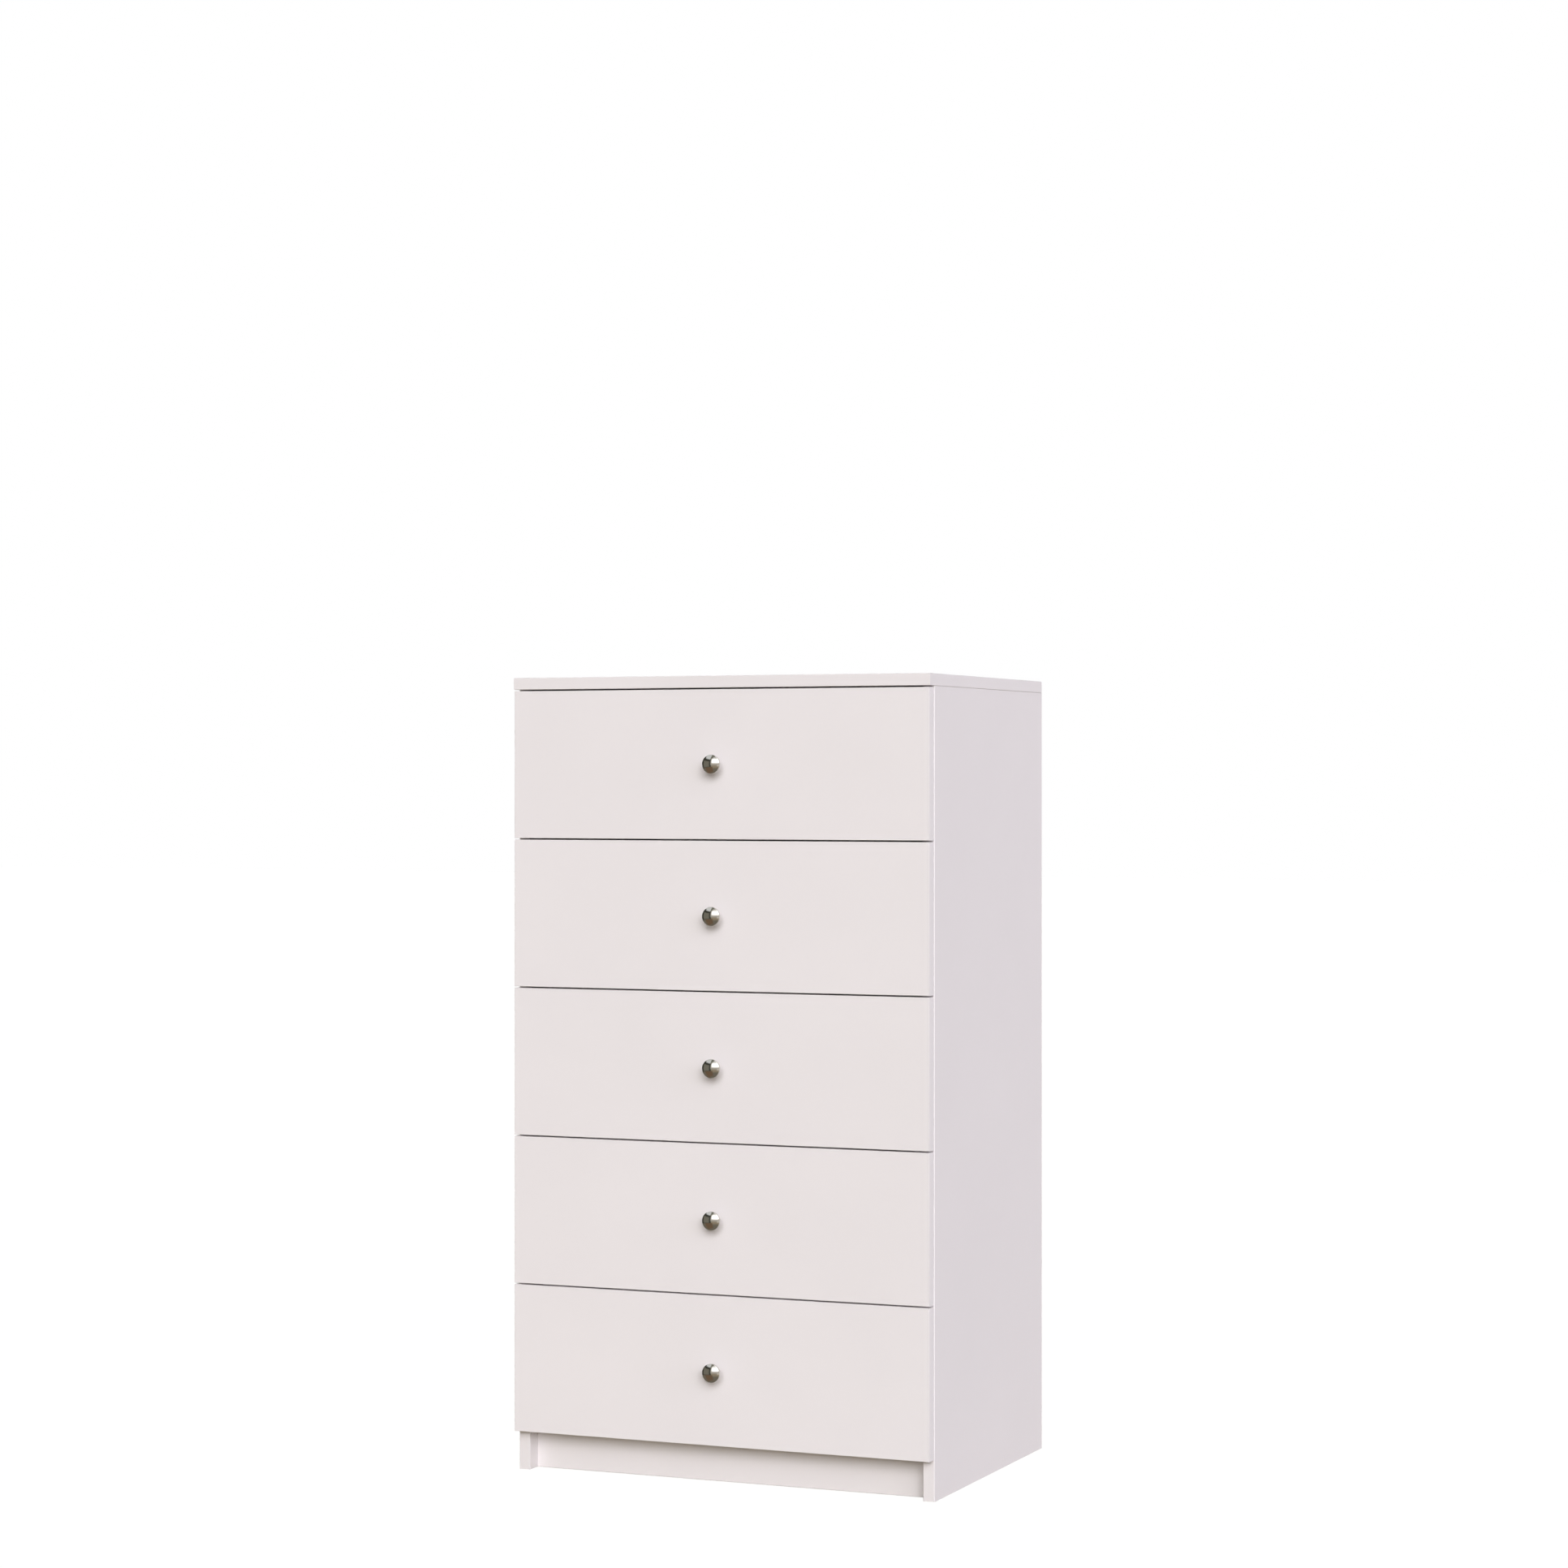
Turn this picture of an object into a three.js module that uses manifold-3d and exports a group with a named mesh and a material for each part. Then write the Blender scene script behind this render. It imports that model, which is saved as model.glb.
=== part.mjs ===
// A tall chest of five drawers: melamine-faced chipboard, hardboard back and drawer bottoms,
// round metal knobs, and steel roller runners. Millimetres, +Z up. The chest stands on the floor
// at z = 0, and the origin is in the middle of its footprint, knobs included. It faces -Y.

import * as THREE from "three";
import { mergeVertices } from "three/addons/utils/BufferGeometryUtils.js";
import Module from "manifold-3d";

const wasm = await Module();
wasm.setup();

// ---------------------------------------------------------------- driving dimensions

// The whole chest
const WIDTH = 600;
const DEPTH = 440; // from the faces of the drawer fronts to the rear edges of the side panels
const HEIGHT = 1070;
const DRAWERS = 5;

// Boards and sheets
const BOARD = 16; // top, sides, bottom, plinth and drawer fronts
const DRAWER_BOARD = 16; // sides and back of a drawer box
const HARDBOARD = 3; // back panel and drawer bottoms
const EDGE_RADIUS = 1; // banded edges are trimmed to this radius
const EDGE_STEPS = 2; // facets round a trimmed edge
const HAIRLINE = 0.05; // left by a butt joint that is pulled up tight

// Drawer fronts, which lie over the edges of the carcass
const FRONT_GAP = 2; // between two fronts, and under the top panel
const FRONT_INSET = 1; // from the outer face of a side panel to the end of a front
const FRONT_STANDOFF = 1; // air between a closed front and the edges of the side panels

// Plinth under the bottom panel
const PLINTH_HEIGHT = 54;
const PLINTH_SETBACK = 23; // behind the front edges of the side panels

// Back panel, slid into grooves
const BACK_INSET = 10; // from the rear edges to the sheet
const GROOVE_DEPTH = 8;
const GROOVE_CLEARANCE = 0.3; // round the sheet in its groove

// Drawer boxes
const BOX_HEADROOM = 30; // from the top of a box side to the top edge of its front

// Roller runners
const RUNNER_SPACE = 12.5; // from a side panel to the drawer box, for both halves of a runner
const RUNNER_STEP = 50; // runners are made in lengths of this step
const RUNNER_CLEAR = 8; // from the bottom panel to the lowest runner
const RUNNER_SETBACK = 2; // from the front edge of a side panel to its runner
const DRAWER_RUNNER_SETBACK = 1; // from a drawer front to the runner on its box
const TRAVEL_LOSS = 100; // what the runner's length loses to the overlap at full extension
const STEEL = 1.2;
const BEND_RADIUS = 0.8; // inside a bend
const BEND_STEPS = 2; // facets round a bend
const PASSING_GAP = 0.8; // between the two halves where they pass each other
const CHANNEL_LIP = 3; // upstand on the cabinet half that keeps the roller in
const SUPPORT_FLANGE = 14; // under the drawer bottom
const LIFT_OUT_NOTCH = 45; // cut in the top flange at the front, where a drawer is lifted out
const STOP_HEIGHT = 5; // tab that stops the drawer's roller at full extension

// Nylon rollers on riveted axles
const ROLLER_DIAMETER = 20; // the drawer's rollers
const ROLLER_INSET = 12; // from the end of a profile to its roller's axis
const ROLLER_CHAMFER = 0.8;
const ROLLER_SIDE_PLAY = 0.4;
const ROLLER_FACETS = 16;
const RUNNING_GAP = 0.3; // between a roller and what it runs on
const TILT_ROOM = 2.3; // over the drawer's roller in its channel
const AXLE_DIAMETER = 6;
const FLANGE_END_GAP = 2; // from the end of the running flange to the roller behind it

// Runner screws, on the 32 mm system
const SCREW_HOLE = 6.4; // through a runner
const PANEL_HOLE = 5; // blind, in a side panel
const PANEL_HOLE_DEPTH = 12;
const FIRST_SCREW = 37; // from the front edge of a side panel
const SCREW_SPACING = 128;
const HOLE_FACETS = 8;

// Knobs
const KNOB_DIAMETER = 25;
const KNOB_PROJECTION = 24;
const KNOB_DOME = 3.5; // height of the domed face
const KNOB_RIM = 3; // height of the edge round the dome
const KNOB_EDGE = 0.5; // both corners of that edge are broken by this much
const KNOB_NECK = 8; // diameter
const KNOB_NECK_HEIGHT = 8; // from the front to the narrowest place
const KNOB_BASE = 11; // diameter
const KNOB_SCREW = 4; // diameter
const KNOB_SCREW_CLEARANCE = 0.3;
const SCREW_HEAD = 8; // diameter
const SCREW_HEAD_HEIGHT = 2.4;
const KNOB_FACETS = 24;
const KNOB_STEPS = 3; // steps in each curve of the outline

// ---------------------------------------------------------------- planes that pieces share

const REAR = (DEPTH + KNOB_PROJECTION) / 2;
const FRONT_FACE = REAR - DEPTH;
const BOX_FRONT = FRONT_FACE + BOARD; // inner face of a closed drawer front
const PANEL_FRONT = BOX_FRONT + FRONT_STANDOFF;
const PANEL_DEPTH = REAR - PANEL_FRONT;
const INNER = WIDTH / 2 - BOARD; // inner face of a side panel
const TOP_UNDERSIDE = HEIGHT - BOARD;
const BACK_FRONT = REAR - BACK_INSET - HARDBOARD; // front face of the back panel

const DRAWER_PITCH = (TOP_UNDERSIDE - PLINTH_HEIGHT) / DRAWERS;
const FRONT_HEIGHT = DRAWER_PITCH - FRONT_GAP;
const BOX_OUTER = INNER - RUNNER_SPACE; // outer face of a drawer side
const BOX_INNER = BOX_OUTER - DRAWER_BOARD;

const RUNNER_ROOM = BACK_FRONT - PANEL_FRONT - RUNNER_SETBACK;
const RUNNER_LENGTH = RUNNER_STEP * Math.floor(RUNNER_ROOM / RUNNER_STEP);
const TRAVEL = RUNNER_LENGTH - TRAVEL_LOSS;

// Heights within a runner, from its underside. The drawer's running flange is level with the top
// of the drawer's roller, and the cabinet's roller fills what is left under that flange.
const CHANNEL_FLOOR = STEEL;
const ROLLER_TOP = CHANNEL_FLOOR + RUNNING_GAP + ROLLER_DIAMETER;
const CHANNEL_HEIGHT = ROLLER_TOP + TILT_ROOM + STEEL;
const CABINET_ROLLER_DIAMETER = ROLLER_DIAMETER - STEEL - RUNNING_GAP;
const SCREW_HEIGHT = CHANNEL_HEIGHT / 2;

// Widths within a runner, from the face of the side panel towards the drawer
const CHANNEL_WIDTH = RUNNER_SPACE - HAIRLINE - STEEL - PASSING_GAP;
const ROLLER_START = STEEL + ROLLER_SIDE_PLAY;
const ROLLER_END = CHANNEL_WIDTH - STEEL - ROLLER_SIDE_PLAY;
const ROLLER_WIDTH = ROLLER_END - ROLLER_START;

// ---------------------------------------------------------------- shaping

const X = new THREE.Vector3(1, 0, 0);
const Y = new THREE.Vector3(0, 1, 0);
const Z = new THREE.Vector3(0, 0, 1);
const EXTRUDE_AXES = { x: [Y, Z, X], y: [Z, X, Y], z: [X, Y, Z] };

// Turns what was extruded along Z so that it runs along the named axis. The outline's own two
// axes become the next two in the cycle x, y, z: along y, an outline is drawn as (z, x).
function turnTo(geometry, axis) {
  const basis = new THREE.Matrix4().makeBasis(...EXTRUDE_AXES[axis]);
  return geometry.applyMatrix4(basis);
}

function rectangle(width, height) {
  const corners = [
    [0, 0],
    [width, 0],
    [width, height],
    [0, height],
  ];
  return new THREE.Shape(corners.map(([a, b]) => new THREE.Vector2(a, b)));
}

// A board banded on all four edges, with its lowest corner at the origin. Its thickness lies along
// the named axis, and its edges are rounded on both faces.
function bandedAllRound(sizeX, sizeY, sizeZ, axis) {
  const sizes = { x: [sizeY, sizeZ, sizeX], y: [sizeZ, sizeX, sizeY], z: [sizeX, sizeY, sizeZ] };
  const [width, height, thickness] = sizes[axis];
  const geometry = new THREE.ExtrudeGeometry(rectangle(width, height), {
    depth: thickness - 2 * EDGE_RADIUS,
    bevelThickness: EDGE_RADIUS,
    bevelSize: EDGE_RADIUS,
    bevelOffset: -EDGE_RADIUS,
    bevelSegments: EDGE_STEPS,
  });
  geometry.translate(0, 0, EDGE_RADIUS);
  return turnTo(geometry, axis);
}

// A board with one banded edge, with its lowest corner at the origin. Its section runs along the
// named axis, and the two corners of the section on that edge, counted round it, are rounded.
function bandedOnce(sizeX, sizeY, sizeZ, axis, bandedCorners) {
  const sizes = { x: [sizeY, sizeZ, sizeX], y: [sizeZ, sizeX, sizeY], z: [sizeX, sizeY, sizeZ] };
  const [width, height, length] = sizes[axis];
  const outline = rectangle(width, height).getPoints();
  const points = outline.flatMap((corner, index) => {
    if (!bandedCorners.includes(index)) {
      return [corner];
    }
    const centreX = Math.abs(corner.x - EDGE_RADIUS);
    const centreY = Math.abs(corner.y - EDGE_RADIUS);
    const arc = new THREE.Path();
    const start = Math.PI + (index * Math.PI) / 2;
    arc.absarc(centreX, centreY, EDGE_RADIUS, start, start + Math.PI / 2, false);
    return arc.getPoints(EDGE_STEPS / 2);
  });
  const settings = { depth: length, bevelEnabled: false };
  return turnTo(new THREE.ExtrudeGeometry(new THREE.Shape(points), settings), axis);
}

// A straight-sided block, used to cut notches and grooves
function block(sizeX, sizeY, sizeZ, x, y, z) {
  const geometry = new THREE.BoxGeometry(sizeX, sizeY, sizeZ);
  return geometry.translate(x + sizeX / 2, y + sizeY / 2, z + sizeZ / 2);
}

// A round bar along the named axis, with the middle of one end at the origin
function bar(diameter, length, axis, facets) {
  const circle = new THREE.Shape().absarc(0, 0, diameter / 2, 0, 2 * Math.PI);
  const settings = { depth: length, bevelEnabled: false, curveSegments: facets / 2 };
  return turnTo(new THREE.ExtrudeGeometry(circle, settings), axis);
}

// A turned piece: its outline, points of (radius, distance), goes once round the given direction.
function revolve(outline, direction, facets) {
  const geometry = new THREE.LatheGeometry(outline, facets);
  return geometry.applyQuaternion(new THREE.Quaternion().setFromUnitVectors(Y, direction));
}

// The section of a folded sheet, from a line through the middle of its thickness that turns only
// at right angles. Each bend becomes two arcs about one centre, inside and outside.
function foldedSection(line) {
  const corners = line.map(([a, b]) => new THREE.Vector2(a, b));
  const radius = BEND_RADIUS + STEEL / 2;
  const left = [];
  const right = [];
  const step = (from, to) => to.clone().sub(from).normalize();
  const across = (heading) => new THREE.Vector2(-heading.y, heading.x).multiplyScalar(STEEL / 2);
  const end = (corner, heading) => {
    left.push(corner.clone().add(across(heading)));
    right.push(corner.clone().sub(across(heading)));
  };
  end(corners[0], step(corners[0], corners[1]));
  for (let i = 1; i < corners.length - 1; i++) {
    const before = step(corners[i - 1], corners[i]);
    const after = step(corners[i], corners[i + 1]);
    const turn = Math.sign(before.cross(after));
    const centre = corners[i].clone().addScaledVector(after, radius).addScaledVector(before, -radius);
    for (let k = 0; k <= BEND_STEPS; k++) {
      const angle = (k / BEND_STEPS) * (Math.PI / 2);
      const spoke = after.clone().multiplyScalar(-Math.cos(angle));
      spoke.addScaledVector(before, Math.sin(angle));
      left.push(centre.clone().addScaledVector(spoke, radius - (turn * STEEL) / 2));
      right.push(centre.clone().addScaledVector(spoke, radius + (turn * STEEL) / 2));
    }
  }
  const last = corners.length - 1;
  end(corners[last], step(corners[last - 1], corners[last]));
  return new THREE.Shape([...left, ...right.reverse()]);
}

// Booleans. A solid is made from a closed geometry's welded positions.
function solidOf(geometry) {
  const bare = geometry.clone();
  bare.deleteAttribute("normal");
  bare.deleteAttribute("uv");
  const welded = mergeVertices(bare);
  const triVerts = new Uint32Array(welded.index.array);
  const vertProperties = welded.attributes.position.array;
  return new wasm.Manifold(new wasm.Mesh({ numProp: 3, vertProperties, triVerts }));
}

function geometryOf(solid) {
  const mesh = solid.getMesh();
  const geometry = new THREE.BufferGeometry();
  geometry.setAttribute("position", new THREE.BufferAttribute(mesh.vertProperties, 3));
  geometry.setIndex(new THREE.BufferAttribute(mesh.triVerts, 1));
  geometry.computeVertexNormals();
  return geometry;
}

function cut(geometry, ...tools) {
  const solid = tools.reduce((rest, tool) => rest.subtract(solidOf(tool)), solidOf(geometry));
  return geometryOf(solid);
}

function fuse(geometry, ...others) {
  const solid = others.reduce((rest, other) => rest.add(solidOf(other)), solidOf(geometry));
  return geometryOf(solid);
}

// ---------------------------------------------------------------- materials

const melamine = () => new THREE.MeshStandardMaterial({ color: 0xe8e1e1, roughness: 0.55 });
const hardboard = () => new THREE.MeshStandardMaterial({ color: 0xa98560, roughness: 0.8 });
const coatedSteel = () => new THREE.MeshStandardMaterial({ color: 0xf0efec, roughness: 0.4 });
const chrome = () =>
  new THREE.MeshStandardMaterial({ color: 0xc9c8c4, roughness: 0.12, metalness: 1 });

// ---------------------------------------------------------------- the pieces

const chest = new THREE.Group();

function place(name, geometry, material, x, y, z) {
  const mesh = new THREE.Mesh(geometry, material);
  mesh.name = name;
  mesh.position.set(x, y, z);
  chest.add(mesh);
}

// Underside of the front of each drawer, and of its runners, counted from the top
const frontBottom = (drawer) => PLINTH_HEIGHT + DRAWER_PITCH * (DRAWERS - drawer);
const runnerBottom = (drawer) => frontBottom(drawer) + BOARD + RUNNER_CLEAR;
const drawers = Array.from({ length: DRAWERS }, (_, index) => index + 1);
const sides = { left: -1, right: 1 };

// Distances of the screws from the front edge of a side panel
function screwPlaces() {
  const last = RUNNER_SETBACK + RUNNER_LENGTH - ROLLER_DIAMETER;
  const places = [];
  for (let y = FIRST_SCREW; y < last; y += SCREW_SPACING) {
    places.push(y);
  }
  return places;
}

// The top panel lies over the side panels and reaches forward over the drawer fronts. Its rear edge
// is left square. A stopped groove under it takes the upper edge of the back panel.
function topPanel() {
  const panel = bandedAllRound(WIDTH, DEPTH + EDGE_RADIUS, BOARD, "z");
  const rear = block(WIDTH + 2, 2 * EDGE_RADIUS, BOARD + 2, -1, DEPTH, -1);
  const grooveLength = 2 * (INNER + GROOVE_DEPTH);
  const grooveWidth = HARDBOARD + 2 * GROOVE_CLEARANCE;
  const grooveFront = BACK_FRONT - GROOVE_CLEARANCE - FRONT_FACE;
  const start = (WIDTH - grooveLength) / 2;
  const groove = block(grooveLength, grooveWidth, 2 * GROOVE_DEPTH, start, grooveFront, -GROOVE_DEPTH);
  const geometry = cut(panel, rear, groove);
  place("top_panel", geometry, melamine(), -WIDTH / 2, FRONT_FACE, TOP_UNDERSIDE);
}

// A side panel stands on the floor, banded on its front edge. Its inner face is grooved for the
// back panel and bored with blind holes for the screws of its runners.
function sidePanel(name, side) {
  const height = TOP_UNDERSIDE - HAIRLINE;
  const panel = bandedOnce(BOARD, PANEL_DEPTH, height, "z", [0, 1]);
  const innerFace = side > 0 ? 0 : BOARD;
  const grooveWidth = HARDBOARD + 2 * GROOVE_CLEARANCE;
  const grooveFront = BACK_FRONT - GROOVE_CLEARANCE - PANEL_FRONT;
  const overrun = height + 2;
  const tools = [
    block(2 * GROOVE_DEPTH, grooveWidth, overrun, innerFace - GROOVE_DEPTH, grooveFront, -1),
  ];
  for (const drawer of drawers) {
    for (const y of screwPlaces()) {
      const hole = bar(PANEL_HOLE, 2 * PANEL_HOLE_DEPTH, "x", HOLE_FACETS);
      hole.translate(innerFace - PANEL_HOLE_DEPTH, y, runnerBottom(drawer) + SCREW_HEIGHT);
      tools.push(hole);
    }
  }
  const x = side > 0 ? INNER : -INNER - BOARD;
  place(`${name}_side_panel`, cut(panel, ...tools), melamine(), x, PANEL_FRONT, 0);
}

// The bottom panel is held between the side panels, and the back panel is screwed to its rear edge.
function bottomPanel() {
  const width = 2 * (INNER - HAIRLINE);
  const depth = BACK_FRONT - HAIRLINE - PANEL_FRONT;
  const panel = bandedOnce(width, depth, BOARD, "x", [0, 3]);
  place("bottom_panel", panel, melamine(), -width / 2, PANEL_FRONT, PLINTH_HEIGHT);
}

// The plinth stands on the floor under the bottom panel, set back from the front edges, with its
// banded edge down.
function plinth() {
  const width = 2 * (INNER - HAIRLINE);
  const height = PLINTH_HEIGHT - HAIRLINE;
  const geometry = bandedOnce(width, BOARD, height, "x", [0, 1]);
  place("plinth", geometry, melamine(), -width / 2, PANEL_FRONT + PLINTH_SETBACK, 0);
}

function backPanel() {
  const reach = GROOVE_DEPTH - GROOVE_CLEARANCE;
  const width = 2 * (INNER + reach);
  const height = TOP_UNDERSIDE + reach - PLINTH_HEIGHT;
  const sheet = block(width, HARDBOARD, height, 0, 0, 0);
  place("back_panel", sheet, hardboard(), -width / 2, BACK_FRONT, PLINTH_HEIGHT);
}

// A roller with the axle that rivets it to its profile, turned about the axle. The roller starts at
// the origin, and the axle goes back from it into the middle of the steel.
function roller(diameter, axleLength, direction) {
  const radius = diameter / 2;
  const outline = [
    [0, -axleLength],
    [AXLE_DIAMETER / 2, -axleLength],
    [AXLE_DIAMETER / 2, 0],
    [radius - ROLLER_CHAMFER, 0],
    [radius, ROLLER_CHAMFER],
    [radius, ROLLER_WIDTH - ROLLER_CHAMFER],
    [radius - ROLLER_CHAMFER, ROLLER_WIDTH],
    [0, ROLLER_WIDTH],
  ];
  const points = outline.map(([r, along]) => new THREE.Vector2(r, along));
  return revolve(points, direction, ROLLER_FACETS);
}

function webHoles(side, from, length, firstY) {
  return screwPlaces().map((y) => {
    const hole = bar(SCREW_HOLE, length, "x", HOLE_FACETS);
    return hole.translate(Math.min(-side * from, -side * (from + length)), y - firstY, SCREW_HEIGHT);
  });
}

// The cabinet half of a runner is a folded channel on the side panel, open towards the drawer, with
// a fixed roller at its front that carries the drawer, a lip along its floor, a tab that stops the
// drawer's roller, and its top flange cut back at the front.
function cabinetRunner(drawer, name, side) {
  const middle = STEEL / 2;
  const top = CHANNEL_HEIGHT - middle;
  const lip = CHANNEL_WIDTH - middle;
  const line = [
    [top, CHANNEL_WIDTH],
    [top, middle],
    [middle, middle],
    [middle, lip],
    [CHANNEL_FLOOR + CHANNEL_LIP, lip],
  ];
  const section = foldedSection(line.map(([up, across]) => [up, -side * across]));
  const settings = { depth: RUNNER_LENGTH, bevelEnabled: false };
  const channel = turnTo(new THREE.ExtrudeGeometry(section, settings), "y");

  const inward = X.clone().multiplyScalar(-side);
  const frontRoller = roller(CABINET_ROLLER_DIAMETER, ROLLER_START - middle, inward);
  const axis = CHANNEL_FLOOR + RUNNING_GAP + CABINET_ROLLER_DIAMETER / 2;
  frontRoller.translate(-side * ROLLER_START, ROLLER_INSET, axis);

  const notchWidth = CHANNEL_WIDTH;
  const notchX = side > 0 ? -STEEL - notchWidth : STEEL;
  const notch = block(notchWidth, LIFT_OUT_NOTCH, 2 * STEEL, notchX, 0, CHANNEL_HEIGHT - 2 * STEEL);

  const tabWidth = CHANNEL_WIDTH - STEEL;
  const tabX = side > 0 ? -middle - tabWidth : middle;
  const tab = block(tabWidth, STEEL, STOP_HEIGHT + middle, tabX, stopPlace() - STEEL, middle);

  const holes = webHoles(side, -1, STEEL + 2, RUNNER_SETBACK);
  const geometry = fuse(cut(channel, notch, ...holes), frontRoller, tab);
  const x = side * (INNER - HAIRLINE);
  const y = PANEL_FRONT + RUNNER_SETBACK;
  place(`cabinet_runner_${drawer}_${name}`, geometry, coatedSteel(), x, y, runnerBottom(drawer));
}

// Where the rear face of the stop tab is, from the front of the cabinet half: the roller of a
// drawer at full extension is a running gap short of touching the tab's upper edge.
function stopPlace() {
  const axis = BOX_FRONT + DRAWER_RUNNER_SETBACK + RUNNER_LENGTH - ROLLER_INSET - TRAVEL;
  const radius = ROLLER_DIAMETER / 2;
  const drop = RUNNING_GAP + radius - STOP_HEIGHT;
  const reach = Math.sqrt(radius ** 2 - drop ** 2);
  return axis - reach - RUNNING_GAP - PANEL_FRONT - RUNNER_SETBACK;
}

// The drawer half is folded the other way: a flange under the drawer bottom, a web up the side of
// the box, and a running flange that lies on the cabinet's roller. Behind the end of that flange, a
// roller on the web runs in the cabinet's channel.
function drawerRunner(drawer, name, side) {
  const middle = STEEL / 2;
  const web = RUNNER_SPACE - HAIRLINE - middle;
  const line = [
    [ROLLER_TOP - middle, STEEL + PASSING_GAP],
    [ROLLER_TOP - middle, web],
    [middle, web],
    [middle, RUNNER_SPACE + SUPPORT_FLANGE],
  ];
  const section = foldedSection(line.map(([up, across]) => [up, -side * across]));
  const settings = { depth: RUNNER_LENGTH, bevelEnabled: false };
  const profile = turnTo(new THREE.ExtrudeGeometry(section, settings), "y");

  const flangeEnd = RUNNER_LENGTH - ROLLER_INSET - ROLLER_DIAMETER / 2 - FLANGE_END_GAP;
  const webFace = web - middle;
  const cutX = side > 0 ? -webFace : 0;
  const behindFlange = block(webFace, RUNNER_LENGTH, 2 * STEEL, cutX, flangeEnd, ROLLER_TOP - 2 * STEEL);

  const outward = X.clone().multiplyScalar(side);
  const rearRoller = roller(ROLLER_DIAMETER, web - ROLLER_END, outward);
  const axis = CHANNEL_FLOOR + RUNNING_GAP + ROLLER_DIAMETER / 2;
  rearRoller.translate(-side * ROLLER_END, RUNNER_LENGTH - ROLLER_INSET, axis);

  const start = BOX_FRONT + DRAWER_RUNNER_SETBACK;
  const holes = webHoles(side, webFace - 1, STEEL + 2, start - PANEL_FRONT);
  const geometry = fuse(cut(profile, behindFlange, ...holes), rearRoller);
  const x = side * INNER;
  place(`drawer_${drawer}_${name}_runner`, geometry, coatedSteel(), x, start, runnerBottom(drawer));
}

// A drawer front is banded on all four edges and bored for its knob in the middle.
function drawerFront(drawer) {
  const width = WIDTH - 2 * FRONT_INSET;
  const panel = bandedAllRound(width, BOARD, FRONT_HEIGHT, "y");
  const hole = bar(KNOB_SCREW + 2 * KNOB_SCREW_CLEARANCE, BOARD + 2, "y", HOLE_FACETS);
  hole.translate(width / 2, -1, FRONT_HEIGHT / 2);
  const x = -width / 2;
  place(`drawer_${drawer}_front`, cut(panel, hole), melamine(), x, FRONT_FACE, frontBottom(drawer));
}

// The box behind a front: two sides, a back between them, all banded along the top, and a hardboard
// bottom nailed under all three. The bottom rests on the flanges of the two runners.
function drawerBox(drawer) {
  const sheetBottom = runnerBottom(drawer) + STEEL + HAIRLINE;
  const sideBottom = sheetBottom + HARDBOARD + HAIRLINE;
  const sideTop = frontBottom(drawer) + FRONT_HEIGHT - BOX_HEADROOM;
  const sideHeight = sideTop - sideBottom;
  const boxStart = BOX_FRONT + HAIRLINE;
  const boxLength = RUNNER_LENGTH;

  const sheetHalf = BOX_OUTER - BEND_RADIUS; // clear of the bend in each runner
  const sheet = block(2 * sheetHalf, boxLength, HARDBOARD, 0, 0, 0);
  place(`drawer_${drawer}_bottom`, sheet, hardboard(), -sheetHalf, boxStart, sheetBottom);

  for (const [name, side] of Object.entries(sides)) {
    const panel = bandedOnce(DRAWER_BOARD, boxLength, sideHeight, "y", [1, 2]);
    const x = side > 0 ? BOX_INNER : -BOX_OUTER;
    place(`drawer_${drawer}_${name}_side`, panel, melamine(), x, boxStart, sideBottom);
  }

  const backWidth = 2 * (BOX_INNER - HAIRLINE);
  const back = bandedOnce(backWidth, DRAWER_BOARD, sideHeight, "x", [2, 3]);
  const backStart = boxStart + boxLength - DRAWER_BOARD;
  place(`drawer_${drawer}_back`, back, melamine(), -backWidth / 2, backStart, sideBottom);
}

// A mushroom knob with a thick edge and a shallow dome, and the screw that holds it through the
// front, as one turned outline
function knob(drawer) {
  const rimTop = KNOB_PROJECTION - KNOB_DOME;
  const rimBottom = rimTop - KNOB_RIM;
  const radius = KNOB_DIAMETER / 2;
  const domeRadius = radius - KNOB_EDGE;
  const sphere = (domeRadius ** 2 + KNOB_DOME ** 2) / (2 * KNOB_DOME);
  const rimAngle = Math.acos(domeRadius / sphere);
  const neck = KNOB_NECK / 2;
  const screwEnd = -BOARD - 2 * HAIRLINE;

  const outline = new THREE.Path();
  outline.moveTo(0, screwEnd - SCREW_HEAD_HEIGHT);
  outline.lineTo(SCREW_HEAD / 2, screwEnd - SCREW_HEAD_HEIGHT);
  outline.lineTo(SCREW_HEAD / 2, screwEnd);
  outline.lineTo(KNOB_SCREW / 2, screwEnd);
  outline.lineTo(KNOB_SCREW / 2, 0);
  outline.lineTo(KNOB_BASE / 2, 0);
  outline.quadraticCurveTo(neck, 0, neck, KNOB_NECK_HEIGHT);
  outline.quadraticCurveTo(neck, rimBottom, domeRadius, rimBottom);
  outline.lineTo(radius, rimBottom + KNOB_EDGE);
  outline.lineTo(radius, rimTop - KNOB_EDGE);
  outline.lineTo(domeRadius, rimTop);
  outline.absarc(0, KNOB_PROJECTION - sphere, sphere, rimAngle, Math.PI / 2, false);

  const points = outline.getPoints(KNOB_STEPS);
  points[points.length - 1].x = 0;
  const geometry = revolve(points, Y.clone().negate(), KNOB_FACETS);
  const z = frontBottom(drawer) + FRONT_HEIGHT / 2;
  place(`drawer_${drawer}_knob`, geometry, chrome(), 0, FRONT_FACE - HAIRLINE, z);
}

topPanel();
bottomPanel();
plinth();
backPanel();
for (const [name, side] of Object.entries(sides)) {
  sidePanel(name, side);
}
for (const drawer of drawers) {
  drawerFront(drawer);
  drawerBox(drawer);
  knob(drawer);
  for (const [name, side] of Object.entries(sides)) {
    cabinetRunner(drawer, name, side);
    drawerRunner(drawer, name, side);
  }
}

export default chest;
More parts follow.
